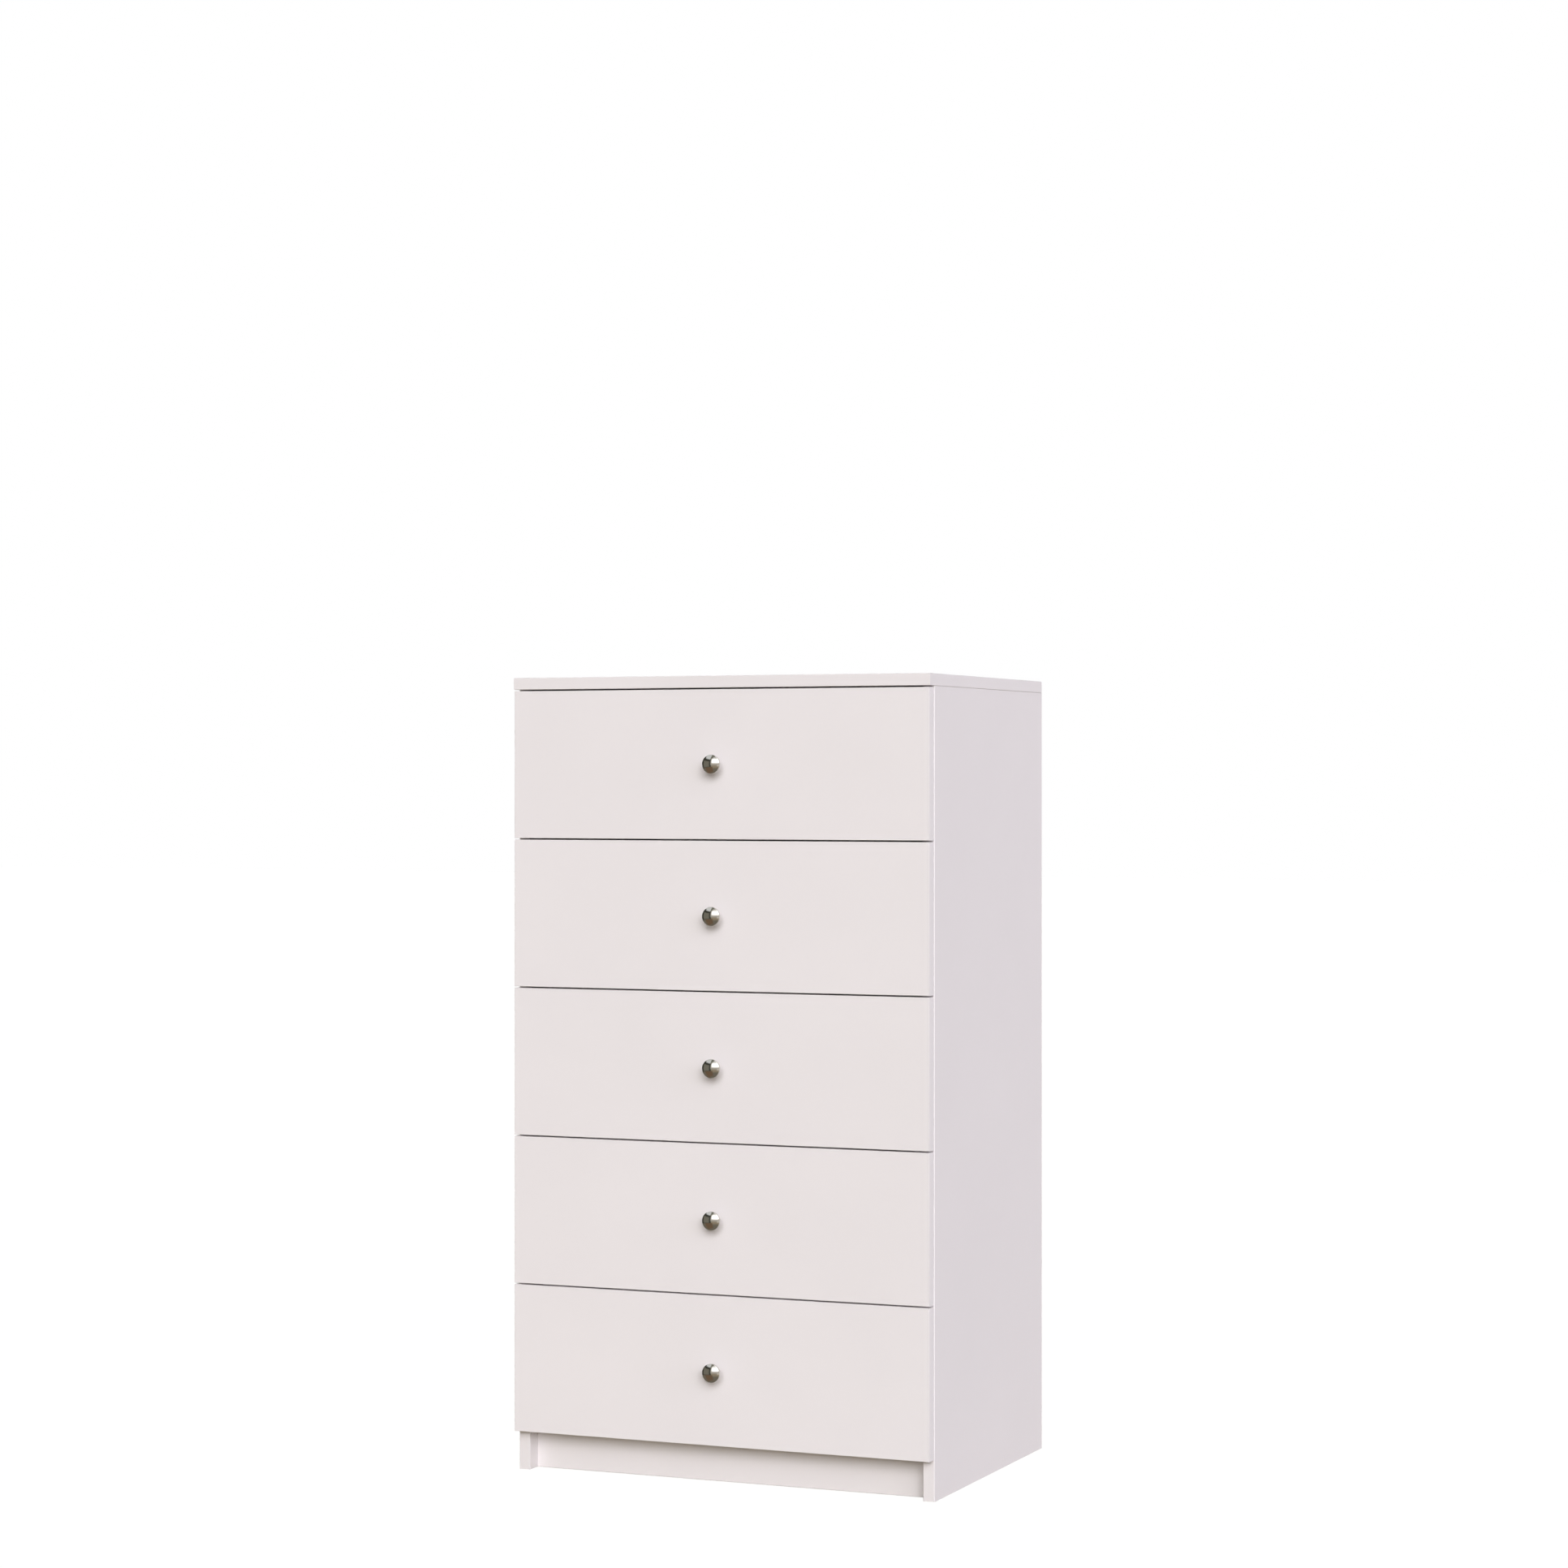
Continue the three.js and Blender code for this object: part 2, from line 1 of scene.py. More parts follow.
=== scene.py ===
"""A tall chest of five drawers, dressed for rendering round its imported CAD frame. Metres, +Z up,
front towards -Y. The chest stands on the floor at z = 0."""

import math

import bpy
import numpy as np
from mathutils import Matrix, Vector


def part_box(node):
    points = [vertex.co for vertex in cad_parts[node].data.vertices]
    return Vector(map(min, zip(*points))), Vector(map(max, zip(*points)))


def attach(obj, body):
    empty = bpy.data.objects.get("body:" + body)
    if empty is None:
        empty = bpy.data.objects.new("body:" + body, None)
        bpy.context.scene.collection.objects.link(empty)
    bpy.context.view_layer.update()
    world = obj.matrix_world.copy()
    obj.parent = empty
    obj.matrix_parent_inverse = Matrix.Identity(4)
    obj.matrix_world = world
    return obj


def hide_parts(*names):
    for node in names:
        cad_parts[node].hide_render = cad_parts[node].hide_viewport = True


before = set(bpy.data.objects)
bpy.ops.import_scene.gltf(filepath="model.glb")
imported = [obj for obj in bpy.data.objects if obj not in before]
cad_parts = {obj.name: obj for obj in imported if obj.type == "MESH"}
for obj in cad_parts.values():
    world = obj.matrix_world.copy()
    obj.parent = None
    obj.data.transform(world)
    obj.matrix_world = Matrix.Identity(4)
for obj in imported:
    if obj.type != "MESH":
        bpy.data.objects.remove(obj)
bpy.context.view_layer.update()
MM = 0.001

# ---------------------------------------------------------------- camera
# A long lens on a stand at about the height of the top drawer, to the right of the chest. The
# camera is level, so the upright edges stay upright.

LENS = 85.12
CAMERA_PLACE = (1.99049, -4.672, 0.92696)
CAMERA_BEARING = 22.996  # degrees to the right of straight out from the fronts

camera = bpy.data.objects.new("camera", bpy.data.cameras.new("camera"))
camera.data.lens = LENS
camera.location = CAMERA_PLACE
camera.rotation_euler = (math.radians(90), 0, math.radians(CAMERA_BEARING))
bpy.context.scene.collection.objects.link(camera)
bpy.context.scene.camera = camera
bpy.context.scene.view_settings.view_transform = "Standard"

# ---------------------------------------------------------------- studio
# The chest stands on a wide sheet of paper. A large softbox with a bright heart hangs to the right
# of its fronts, over a low, dim fill. Two more stand to its right, and to its left and behind. All
# are painted on the far sky by bearing in degrees: 0 is straight out from the fronts, 90 the right.

FLOOR_SIZE = 60.0
PLAIN_WHITE = (1, 1, 1, 1)
FLOOR_GLOW = 0.85  # share of even white that the camera sees in the paper
FLOOR_GLOW_LEVEL = 1.16  # strength of that white
FLOOR_COLOUR = (0.305, 0.262, 0.165)
AMBIENT = (0.075, 0.065, 0.045)
# Each softbox: bearings, elevations and softness of its edges in degrees, then its light.
HEART = ((4, 42), (12, 31), 4, (7.0, 6.97, 7.12))
KEY = ((0, 56), (12, 46), 8, (1.67, 1.69, 1.77))
FRONT_FILL = ((-30, 50), (0, 8), 5, (0.52, 0.5, 0.44))
RIGHT_LIGHT = ((60, 114), (-2, 26), 8, (2.31, 2.32, 2.72))
LEFT_LIGHT = ((-165, -98), (-5, 28), 10, (3.6, 3.6, 3.6))
# Painted reflections: panels on the sky that only mirrors and glossy sheen see, in place of the lamps,
# and which light nothing. Bright metal shows them in front of the white; they are put on in the order of
# the loop below, and SOFTBOX_PAINTED_HIGHLIGHT is a painted highlight.
PALE_CEILING = ((-180, -20), (28, 95), 4, (0.8, 0.82, 0.84))
DIM_FLOOR = ((-180, 60), (-95, -8), 10, (0.19, 0.17, 0.135))
FRONT_FLOOR = ((-6, 60), (-16, 0), 18, (0.36, 0.3, 0.22))
BROWN_MAT = ((-60, -8), (-48, -20), 6, (0.19, 0.125, 0.08))
DIM_CEILING = ((-20, 40), (50, 95), 8, (0.28, 0.28, 0.24))
CEILING_BEAM = ((-22, -6), (26, 95), 5, (0.2, 0.2, 0.16))
DOORWAY = ((-180, -18), (-14, 27), 5, (0.055, 0.055, 0.045))
DARK_WALL = ((-180, -70), (-14, 34), 5, (0.055, 0.055, 0.045))
DARK_ROOM = ((-72, -31), (-12, 15), 5, (0.215, 0.205, 0.17))
LIT_FLOOR = ((-8, 60), (2, 30), 16, (0.55, 0.52, 0.47))
LIT_WALL = ((36, 70), (-6, 30), 14, (0.95, 0.9, 0.85))
RIGHT_WALL = ((80, 180), (-30, 60), 12, (0.72, 0.7, 0.68))
SOFTBOX_PAINTED_HIGHLIGHT = ((-3, 48), (15, 28), 13, (2.4, 2.4, 2.4))


class Wire:
    """One output of a shader node. Arithmetic on wires and numbers adds Math nodes. node() adds a
    node of any type: its settings are set first, then the values or wires of its inputs."""

    def __init__(self, tree, socket=None):
        self.tree = tree
        self.socket = socket

    def node(self, kind, settings=None, inputs=None):
        made = self.tree.nodes.new(kind)
        for name, value in (settings or {}).items():
            if name == "stops":
                for _ in range(len(value) - len(made.color_ramp.elements)):
                    made.color_ramp.elements.new(1.0)
                for element, (place, colour) in zip(made.color_ramp.elements, value):
                    element.position = place
                    element.color = (*colour, 1.0)
            else:
                setattr(made, name, value)
        sockets = {socket.identifier: socket for socket in made.inputs}
        for name, value in (inputs or {}).items():
            if isinstance(value, Wire):
                self.tree.links.new(value.socket, sockets[name])
            else:
                sockets[name].default_value = value
        shown = [socket for socket in made.outputs if socket.enabled]
        return Wire(self.tree, shown[0] if shown else None)

    def __getitem__(self, name):
        return Wire(self.tree, self.socket.node.outputs[name])

    def math(self, operation, first, second):
        inputs = {"Value": first, "Value_001": second}
        return self.node("ShaderNodeMath", {"operation": operation}, inputs)

    def __add__(self, other):
        return self.math("ADD", self, other)

    def __radd__(self, other):
        return self.math("ADD", other, self)

    def __sub__(self, other):
        return self.math("SUBTRACT", self, other)

    def __rsub__(self, other):
        return self.math("SUBTRACT", other, self)

    def __mul__(self, other):
        return self.math("MULTIPLY", self, other)

    def __rmul__(self, other):
        return self.math("MULTIPLY", other, self)


def node_tree(owner):
    """An empty node tree on a material or world, as the wire that its nodes are added from."""
    owner.use_nodes = True
    owner.node_tree.nodes.clear()
    return Wire(owner.node_tree)


def seen_directly(tree):
    """1 for what the camera sees, also in a mirror or through glass, and 0 for light on its way."""
    path = tree.node("ShaderNodeLightPath")
    return path["Is Camera Ray"] + path["Is Glossy Ray"] + path["Is Transmission Ray"]


def mix_shaders(tree, share, first, second):
    inputs = {"Fac": share, "Shader": first, "Shader_001": second}
    return tree.node("ShaderNodeMixShader", None, inputs)


def window(value, low, high, soft):
    """1 from low to high, falling in a smooth step to 0 over soft on either side."""
    rise = {"Value": value, "From Min": low - soft, "From Max": low}
    fall = {"Value": value, "From Min": high, "From Max": high + soft, "To Min": 1.0, "To Max": 0.0}
    smooth = {"interpolation_type": "SMOOTHSTEP"}
    up, down = (value.node("ShaderNodeMapRange", smooth, ramp) for ramp in (rise, fall))
    return up * down


def patch(bearing, elevation, bearings, elevations, soft):
    """1 in a rectangle of the sky, falling to 0 outside it: the product of a window on each angle."""
    return window(bearing, *bearings, soft) * window(elevation, *elevations, soft)


def lamp(bearing, elevation, bearings, elevations, soft, colour):
    """The light of one softbox in each direction of the sky, as a vector of red, green and blue."""
    shape = patch(bearing, elevation, bearings, elevations, soft)
    inputs = {"Vector": colour, "Scale": shape}
    return bearing.node("ShaderNodeVectorMath", {"operation": "SCALE"}, inputs)


def painted(bearing, elevation, bearings, elevations, soft, colour, behind):
    """The colour of a panel wherever it stands in the sky, and the colour behind it elsewhere."""
    shape = patch(bearing, elevation, bearings, elevations, soft)
    inputs = {"Factor_Float": shape, "A_Color": behind, "B_Color": (*colour, 1)}
    return bearing.node("ShaderNodeMix", {"data_type": "RGBA"}, inputs)


def link(name, mesh):
    made = bpy.data.objects.new(name, mesh)
    bpy.context.scene.collection.objects.link(made)
    return made


world = bpy.data.worlds.new("studio")
bpy.context.scene.world = world
tree = node_tree(world)
way = tree.node("ShaderNodeTexCoord")["Generated"]
x, y, z = (tree.node("ShaderNodeSeparateXYZ", None, {"Vector": way})[axis] for axis in "XYZ")
bearing = tree.math("ARCTAN2", x, 0 - y) * math.degrees(1)
elevation = tree.math("ARCSINE", z, 0) * math.degrees(1)
light = tree.node("ShaderNodeCombineXYZ", None, dict(zip("XYZ", AMBIENT)))
for softbox in (HEART, KEY, FRONT_FILL, RIGHT_LIGHT, LEFT_LIGHT):
    added = {"Vector": light, "Vector_001": lamp(bearing, elevation, *softbox)}
    light = tree.node("ShaderNodeVectorMath", {"operation": "ADD"}, added)
around = tree.node("ShaderNodeBackground", None, {"Color": light})
# Glossy rays see these painted reflections over white, not the lamps.
painted_reflection = PLAIN_WHITE
below = (DIM_FLOOR, FRONT_FLOOR, BROWN_MAT)
above = (PALE_CEILING, DIM_CEILING, CEILING_BEAM)
sides = (DOORWAY, DARK_WALL, DARK_ROOM, LIT_WALL, RIGHT_WALL)
for panel in (*below, *above, *sides, LIT_FLOOR, SOFTBOX_PAINTED_HIGHLIGHT):
    painted_reflection = painted(bearing, elevation, *panel, painted_reflection)
white = tree.node("ShaderNodeBackground", None, {"Color": painted_reflection})
surface = mix_shaders(tree, seen_directly(tree), around, white)
backdrop = tree.node("ShaderNodeBackground", None, {"Color": PLAIN_WHITE})
camera_sees = tree.node("ShaderNodeLightPath")["Is Camera Ray"]
surface = mix_shaders(tree, camera_sees, surface, backdrop)
tree.node("ShaderNodeOutputWorld", None, {"Surface": surface})

paper = bpy.data.materials.new("floor_paper")
tree = node_tree(paper)
lit = tree.node("ShaderNodeBsdfDiffuse", None, {"Color": (*FLOOR_COLOUR, 1)})
white = tree.node("ShaderNodeEmission", None, {"Strength": FLOOR_GLOW_LEVEL})
surface = mix_shaders(tree, seen_directly(tree) * FLOOR_GLOW, lit, white)
tree.node("ShaderNodeOutputMaterial", None, {"Surface": surface})

edge = FLOOR_SIZE / 2
floor_mesh = bpy.data.meshes.new("floor")
corners = [(-edge, -edge, 0), (edge, -edge, 0), (edge, edge, 0), (-edge, edge, 0)]
floor_mesh.from_pydata(corners, [], [(0, 1, 2, 3)])
floor_mesh.materials.append(paper)
floor = link("floor", floor_mesh)
floor.visible_glossy = False

# ---------------------------------------------------------------- side panels
# Two boards of 16 mm chipboard, faced with warm off-white melamine, stand on the floor. The front edge
# has a band, trimmed round over both faces; the other edges are left as sawn. A groove along the inner
# face takes the back panel. Where the top lies on, the board steps in to a fine seam, whose faces take
# the darker glue colour as painted shade.

BAND_RADIUS = 0.8 * MM
BAND_STEPS = 4  # facets round the trimmed edge of a band
BAND_JOINT = 0.1 * MM  # glue line that shows beside a band
SEAM = 0.2 * MM  # height and depth of the dark line where a board butts under another
GROOVE_DEPTH = 8.0 * MM
GROOVE_CLEARANCE = 0.3 * MM
SMOOTH_ANGLE = math.radians(30)  # faces that meet at less are shaded as one
OFF_WHITE = (0.790, 0.753, 0.762)
TONE_DRIFT = 0.008
SHEEN_DRIFT = 0.1
FACE_ROUGHNESS = 0.5
BAND_ROUGHNESS = 0.42
GLUE_ROUGHNESS = 0.7
# The glue colour is darker than the board: the glue line's own tone, and also painted shade in the seam
# where a board butts under another.
GLUE_AND_SEAM_SHADE = 0.7  # of the board's colour
RAW_ROUGHNESS = 0.85
FLAKE_TONES = ((0.30, 0.19, 0.10), (0.52, 0.36, 0.21), (0.70, 0.54, 0.35))
FLAKE_SHARE = 0.7  # of the tone, the rest being fine grain
GRAIN_RELIEF = 0.4  # of the depth of the gaps between flakes
SIDES = (("left", -1), ("right", 1))
FACE, BAND, JOINT, RAW = range(4)  # the finishes of a board, in the order of its material slots


def faced(colour, name, roughness):
    """Melamine: an even colour with a slow drift of tone, and a fine pearl that breaks its sheen."""
    made = bpy.data.materials.new(name)
    tree = node_tree(made)
    place = tree.node("ShaderNodeTexCoord")["Object"]
    drift = tree.node("ShaderNodeTexNoise", None, {"Vector": place, "Scale": 5.0, "Detail": 2.0})
    pearl = tree.node("ShaderNodeTexNoise", None, {"Vector": place, "Scale": 900.0, "Detail": 2.0})
    light = tuple((1 + TONE_DRIFT) * c for c in colour)
    dark = tuple((1 - TONE_DRIFT) * c for c in colour)
    tone = tree.node("ShaderNodeValToRGB", {"stops": [(0.35, dark), (0.65, light)]}, {"Fac": drift})
    bump = tree.node("ShaderNodeBump", None, {"Strength": 0.25, "Distance": 0.02 * MM, "Height": pearl})
    sheen = roughness + SHEEN_DRIFT * (pearl - 0.5)
    finish = {"Base Color": tone, "Roughness": sheen, "Normal": bump}
    board = tree.node("ShaderNodeBsdfPrincipled", None, finish)
    tree.node("ShaderNodeOutputMaterial", None, {"Surface": board})
    return made


def sawn_chipboard():
    """Pressed flakes of softwood, 1 to 4 mm long, in resin: each cell of a Voronoi pattern is a flake of
    its own tone, and the gaps between them lie deeper, darkened with painted shade."""
    made = bpy.data.materials.new("sawn_chipboard")
    tree = node_tree(made)
    place = tree.node("ShaderNodeTexCoord")["Object"]
    cells = {"Vector": place, "Scale": 420.0, "Randomness": 1.0}
    flakes = tree.node("ShaderNodeTexVoronoi", {"feature": "F1"}, cells)
    gaps = tree.node("ShaderNodeTexVoronoi", {"feature": "DISTANCE_TO_EDGE"}, cells)
    grain = tree.node("ShaderNodeTexNoise", None, {"Vector": place, "Scale": 1500.0, "Detail": 4.0})
    split = tree.node("ShaderNodeSeparateColor", None, {"Color": flakes["Color"]})
    tone = split * FLAKE_SHARE + grain * (1 - FLAKE_SHARE)
    stops = list(zip((0.15, 0.5, 0.85), FLAKE_TONES))
    colour = tree.node("ShaderNodeValToRGB", {"stops": stops}, {"Fac": tone})
    # Painted shade: the same map that sinks the gaps between flakes also darkens them.
    depth = tree.node(
        "ShaderNodeMapRange", None, {"Value": gaps, "From Max": 0.15, "To Min": 0.45, "To Max": 1.0}
    )
    shade = tree.node("ShaderNodeVectorMath", {"operation": "SCALE"}, {"Vector": colour, "Scale": depth})
    relief = depth + grain * GRAIN_RELIEF
    bump = tree.node("ShaderNodeBump", None, {"Strength": 0.6, "Distance": 0.3 * MM, "Height": relief})
    finish = {"Base Color": shade, "Roughness": RAW_ROUGHNESS, "Normal": bump}
    wood = tree.node("ShaderNodeBsdfPrincipled", None, finish)
    tree.node("ShaderNodeOutputMaterial", None, {"Surface": wood})
    return made


def board_finishes(colour, slot):
    """A board's four finishes: its face, its band, the glue line beside the band, also painted shade in
    seams, and raw edges.
    """
    glue = tuple(GLUE_AND_SEAM_SHADE * c for c in colour)
    return [
        faced(colour, f"{slot}_face", FACE_ROUGHNESS),
        faced(colour, f"{slot}_band", BAND_ROUGHNESS),
        faced(glue, f"{slot}_glue_line_and_seam_shade", GLUE_ROUGHNESS),
        sawn,
    ]


def points(x, y, z):
    """Points as one array, from coordinates that may each be a number, a row or a column."""
    return np.stack(np.broadcast_arrays(x, y, z), -1)


def skin(name, loops, strips, ends, finishes):
    """A closed piece from a stack of loops of points, loops[k, i] being point i of loop k. Quads join
    each loop to the next, and a flat face closes either end. strips[k, i] and ends say which finish
    each face takes. Faces whose normals point inwards, as on a mirrored piece, are turned."""
    index = np.arange(loops.shape[0] * loops.shape[1]).reshape(loops.shape[:2])
    near, far = index[:-1], index[1:]
    quads = np.stack([near, np.roll(near, -1, 1), np.roll(far, -1, 1), far], -1).reshape(-1, 4)
    faces = [*quads.tolist(), index[0, ::-1].tolist(), index[-1].tolist()]
    mesh = bpy.data.meshes.new(name)
    mesh.from_pydata(loops.reshape(-1, 3), [], faces)
    mesh.polygons.foreach_set("material_index", [*np.ravel(strips).tolist(), *ends])
    return finished(name, mesh, finishes)


def finished(name, mesh, finishes):
    """Turns a mesh's faces outwards, and shades it smooth except where it turns sharply."""
    normals, centres = np.zeros((2, len(mesh.polygons), 3))
    areas = np.zeros(len(mesh.polygons))
    mesh.polygons.foreach_get("normal", normals.ravel())
    mesh.polygons.foreach_get("center", centres.ravel())
    mesh.polygons.foreach_get("area", areas)
    if np.sum(normals * centres * areas[:, None]) < 0:
        mesh.flip_normals()
    for finish in finishes:
        mesh.materials.append(finish)
    mesh.shade_smooth()
    mesh.set_sharp_from_angle(angle=SMOOTH_ANGLE)
    made = link(name, mesh)
    flat = made.modifiers.new("flat faces stay flat", "WEIGHTED_NORMAL")
    flat.keep_sharp = True
    return made


def dress(piece, body, slot, *nodes):
    """Fixes a piece to its body, and hides the CAD nodes that it stands for. slot, the name of its
    finish, is not used.
    """
    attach(piece, body)
    if nodes:
        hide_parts(*nodes)
    return piece


def banded_section(thickness, width, groove=None):
    """Section of a board with one banded edge, as distances across its thickness and in from that
    edge. The band turns into both faces in quarter circles of BAND_RADIUS. groove is (start, end),
    cut in from the face at 0. Also gives the finish of the strip after each point."""
    turn = np.linspace(0, np.pi / 2, BAND_STEPS + 1)
    drop = BAND_RADIUS * (1 - np.sin(turn))
    cut = BAND_RADIUS * (1 - np.cos(turn))
    band_across = np.r_[cut, thickness - cut[::-1]]
    band_in = np.r_[drop, drop[::-1]]
    line = BAND_RADIUS + BAND_JOINT
    across = np.r_[0, band_across, thickness, thickness, 0]
    inwards = np.r_[line, band_in, line, width, width]
    strips = [JOINT, *[BAND] * (len(band_across) - 1), JOINT, FACE, RAW, FACE]
    if groove:
        across = np.r_[across, 0, GROOVE_DEPTH, GROOVE_DEPTH, 0]
        inwards = np.r_[inwards, groove[1], groove[1], groove[0], groove[0]]
        strips = [*strips[:-1], FACE, RAW, RAW, RAW, FACE]
    return across, inwards, strips


sawn = sawn_chipboard()
carcass_finishes = board_finishes(OFF_WHITE, "carcass_board")
back_low, back_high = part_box("back_panel")
for name, side in SIDES:
    low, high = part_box(f"{name}_side_panel")
    groove = back_low.y - GROOVE_CLEARANCE - low.y, back_high.y + GROOVE_CLEARANCE - low.y
    across, inwards, strips = banded_section(high.x - low.x, high.y - low.y, groove)
    inner = low.x if side > 0 else high.x
    levels = np.array([[low.z], [high.z - SEAM], [high.z - SEAM], [high.z]])
    seam_across = np.minimum(across, high.x - low.x - SEAM)
    seam_inwards = np.maximum(inwards, SEAM)
    across = np.stack([across, across, seam_across, seam_across])
    inwards = np.stack([inwards, inwards, seam_inwards, seam_inwards])
    loops = points(inner + side * across, low.y + inwards, levels)
    # The stepped-in seam at the top takes the glue colour: painted shade where the top lies on.
    finish = np.stack([strips, [JOINT] * len(strips), [JOINT] * len(strips)])
    panel = skin(f"{name}_side_board", loops, finish, (RAW, RAW), carcass_finishes)
    dress(panel, "carcass", "carcass_board", f"{name}_side_panel")

# ---------------------------------------------------------------- bottom panel and plinth
# The bottom panel is held between the side panels, its banded edge to the front. The plinth is a
# strip of the same board under it, set back, with its band down on the floor.

low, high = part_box("bottom_panel")
across, inwards, strips = banded_section(high.z - low.z, high.y - low.y)
ends = np.array([[low.x], [high.x]])
loops = points(ends, low.y + inwards, low.z + across)
panel = skin("bottom_board", loops, strips, (RAW, RAW), carcass_finishes)
dress(panel, "carcass", "carcass_board", "bottom_panel")

low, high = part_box("plinth")
across, inwards, strips = banded_section(high.y - low.y, high.z - low.z)
ends = np.array([[low.x], [high.x]])
loops = points(ends, low.y + across, low.z + inwards)
panel = skin("plinth_board", loops, strips, (RAW, RAW), carcass_finishes)
dress(panel, "carcass", "carcass_board", "plinth")

# ---------------------------------------------------------------- top panel
# The top lies over the side panels and reaches forward to the faces of the drawer fronts. It is
# banded at the front and at both ends. A stopped groove underneath takes the back panel.

AXIS_ORDER = {"x": (1, 2, 0), "y": (2, 0, 1), "z": (0, 1, 2)}  # two axes of the face, then thickness


def slab(low, high, axis, banded, radius, groove=None):
    """Loops through the thickness of a board that is banded on several sides, each loop its four
    corners. A banded side is drawn in by r (1 - sin t) at r (1 - cos t) under either face, with r the
    band's radius and t from 0 to 90 degrees, and an unbanded side stays plumb. banded and the corners
    go round the face from its lowest corner. groove is a box cut into the lower face. Also gives the
    strips' finishes."""
    u, v, w = AXIS_ORDER[axis]
    turn = np.linspace(0, np.pi / 2, BAND_STEPS + 1)
    drop = radius * (1 - np.sin(turn))
    cut = radius * (1 - np.cos(turn))
    depth = np.r_[0, cut]
    drop = np.r_[drop[0], drop][:, None] * np.array(banded)
    drop[0] += BAND_JOINT
    v_low, u_high, v_high, u_low = np.r_[drop, drop[::-1]].T
    u_low, u_high = low[u] + u_low, high[u] - u_high
    v_low, v_high = low[v] + v_low, high[v] - v_high
    level = np.r_[low[w] + depth, high[w] - depth[::-1]]
    loops = np.zeros((len(level), 4, 3))
    loops[:, :, u] = np.stack([u_low, u_high, u_high, u_low], -1)
    loops[:, :, v] = np.stack([v_low, v_low, v_high, v_high], -1)
    loops[:, :, w] = level[:, None]
    strips = np.tile(np.where(banded, BAND, RAW), (len(level) - 1, 1))
    strips[[0, -1]] = JOINT
    if groove:
        box_low, box_high = groove
        rectangle = np.zeros((2, 4, 3))
        rectangle[:, :, u] = [box_low[u], box_high[u], box_high[u], box_low[u]]
        rectangle[:, :, v] = [box_low[v], box_low[v], box_high[v], box_high[v]]
        rectangle[:, :, w] = [[box_high[w]], [low[w]]]
        loops = np.concatenate([rectangle, loops])
        strips = np.concatenate([[[RAW] * 4, [FACE] * 4], strips])
    return loops, strips


low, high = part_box("top_panel")
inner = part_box("right_side_panel")[0].x
groove = (
    (-inner - GROOVE_DEPTH, back_low.y - GROOVE_CLEARANCE, low.z),
    (inner + GROOVE_DEPTH, back_high.y + GROOVE_CLEARANCE, low.z + GROOVE_DEPTH),
)
loops, strips = slab(low, high, "z", (True, True, False, True), BAND_RADIUS, groove)
panel = skin("top_board", loops, strips, (RAW, FACE), carcass_finishes)
dress(panel, "carcass", "carcass_board", "top_panel")

# ---------------------------------------------------------------- back panel
# One sheet of 3 mm hardboard, slid down the grooves: white lacquer towards the drawers, and the
# bare brown board, with its pressed fibres, behind.

LACQUER = (0.80, 0.77, 0.75)
LACQUER_ROUGHNESS = 0.45
HARDBOARD_BROWN = (0.36, 0.22, 0.12)
HARDBOARD_PALE = (0.50, 0.33, 0.19)
HARDBOARD_ROUGHNESS = 0.75
FIBRE_SHARE = 0.6  # of the tone, the rest being clouds
LACQUERED, BARE = range(2)  # the finishes of a sheet


def hardboard():
    """Bare hardboard: fine felted fibres, as warped noise between two browns, with a faint nap."""
    made = bpy.data.materials.new("bare_hardboard")
    tree = node_tree(made)
    place = tree.node("ShaderNodeTexCoord")["Object"]
    fibres = tree.node(
        "ShaderNodeTexNoise",
        None,
        {"Vector": place, "Scale": 700.0, "Detail": 6.0, "Roughness": 0.7, "Distortion": 1.2},
    )
    clouds = tree.node("ShaderNodeTexNoise", None, {"Vector": place, "Scale": 9.0, "Detail": 3.0})
    stops = [(0.3, HARDBOARD_BROWN), (0.7, HARDBOARD_PALE)]
    shade = fibres * FIBRE_SHARE + clouds * (1 - FIBRE_SHARE)
    colour = tree.node("ShaderNodeValToRGB", {"stops": stops}, {"Fac": shade})
    bump = tree.node("ShaderNodeBump", None, {"Strength": 0.4, "Distance": 0.08 * MM, "Height": fibres})
    finish = {"Base Color": colour, "Roughness": HARDBOARD_ROUGHNESS, "Normal": bump}
    board = tree.node("ShaderNodeBsdfPrincipled", None, finish)
    tree.node("ShaderNodeOutputMaterial", None, {"Surface": board})
    return made


def sheet(low, high, axis):
    """The two loops of a sheet with square edges, through its thickness."""
    u, v, w = AXIS_ORDER[axis]
    loops = np.zeros((2, 4, 3))
    loops[:, :, u] = [low[u], high[u], high[u], low[u]]
    loops[:, :, v] = [low[v], low[v], high[v], high[v]]
    loops[:, :, w] = [[low[w]], [high[w]]]
    return loops


sheet_finishes = [faced(LACQUER, "hardboard_lacquer", LACQUER_ROUGHNESS), hardboard()]
loops = sheet(back_low, back_high, "y")
panel = skin("back_sheet", loops, [[BARE] * 4], (LACQUERED, BARE), sheet_finishes)
dress(panel, "carcass", "hardboard", "back_panel")

# ---------------------------------------------------------------- drawer fronts
# Five boards of the same make as the carcass, banded on all four edges and trimmed closer.

FRONT_BAND_RADIUS = 0.5 * MM
DRAWERS = range(1, 6)

front_finishes = board_finishes(OFF_WHITE, "front_board")
for drawer in DRAWERS:
    low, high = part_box(f"drawer_{drawer}_front")
    loops, strips = slab(low, high, "y", (True,) * 4, FRONT_BAND_RADIUS)
    panel = skin(f"drawer_{drawer}_front_board", loops, strips, (FACE, FACE), front_finishes)
    dress(panel, f"drawer_{drawer}", "front_board", f"drawer_{drawer}_front")

# ---------------------------------------------------------------- drawer boxes
# Two sides and a back of melamine board, banded along their top edges, with a sheet of lacquered
# hardboard nailed up under all three.

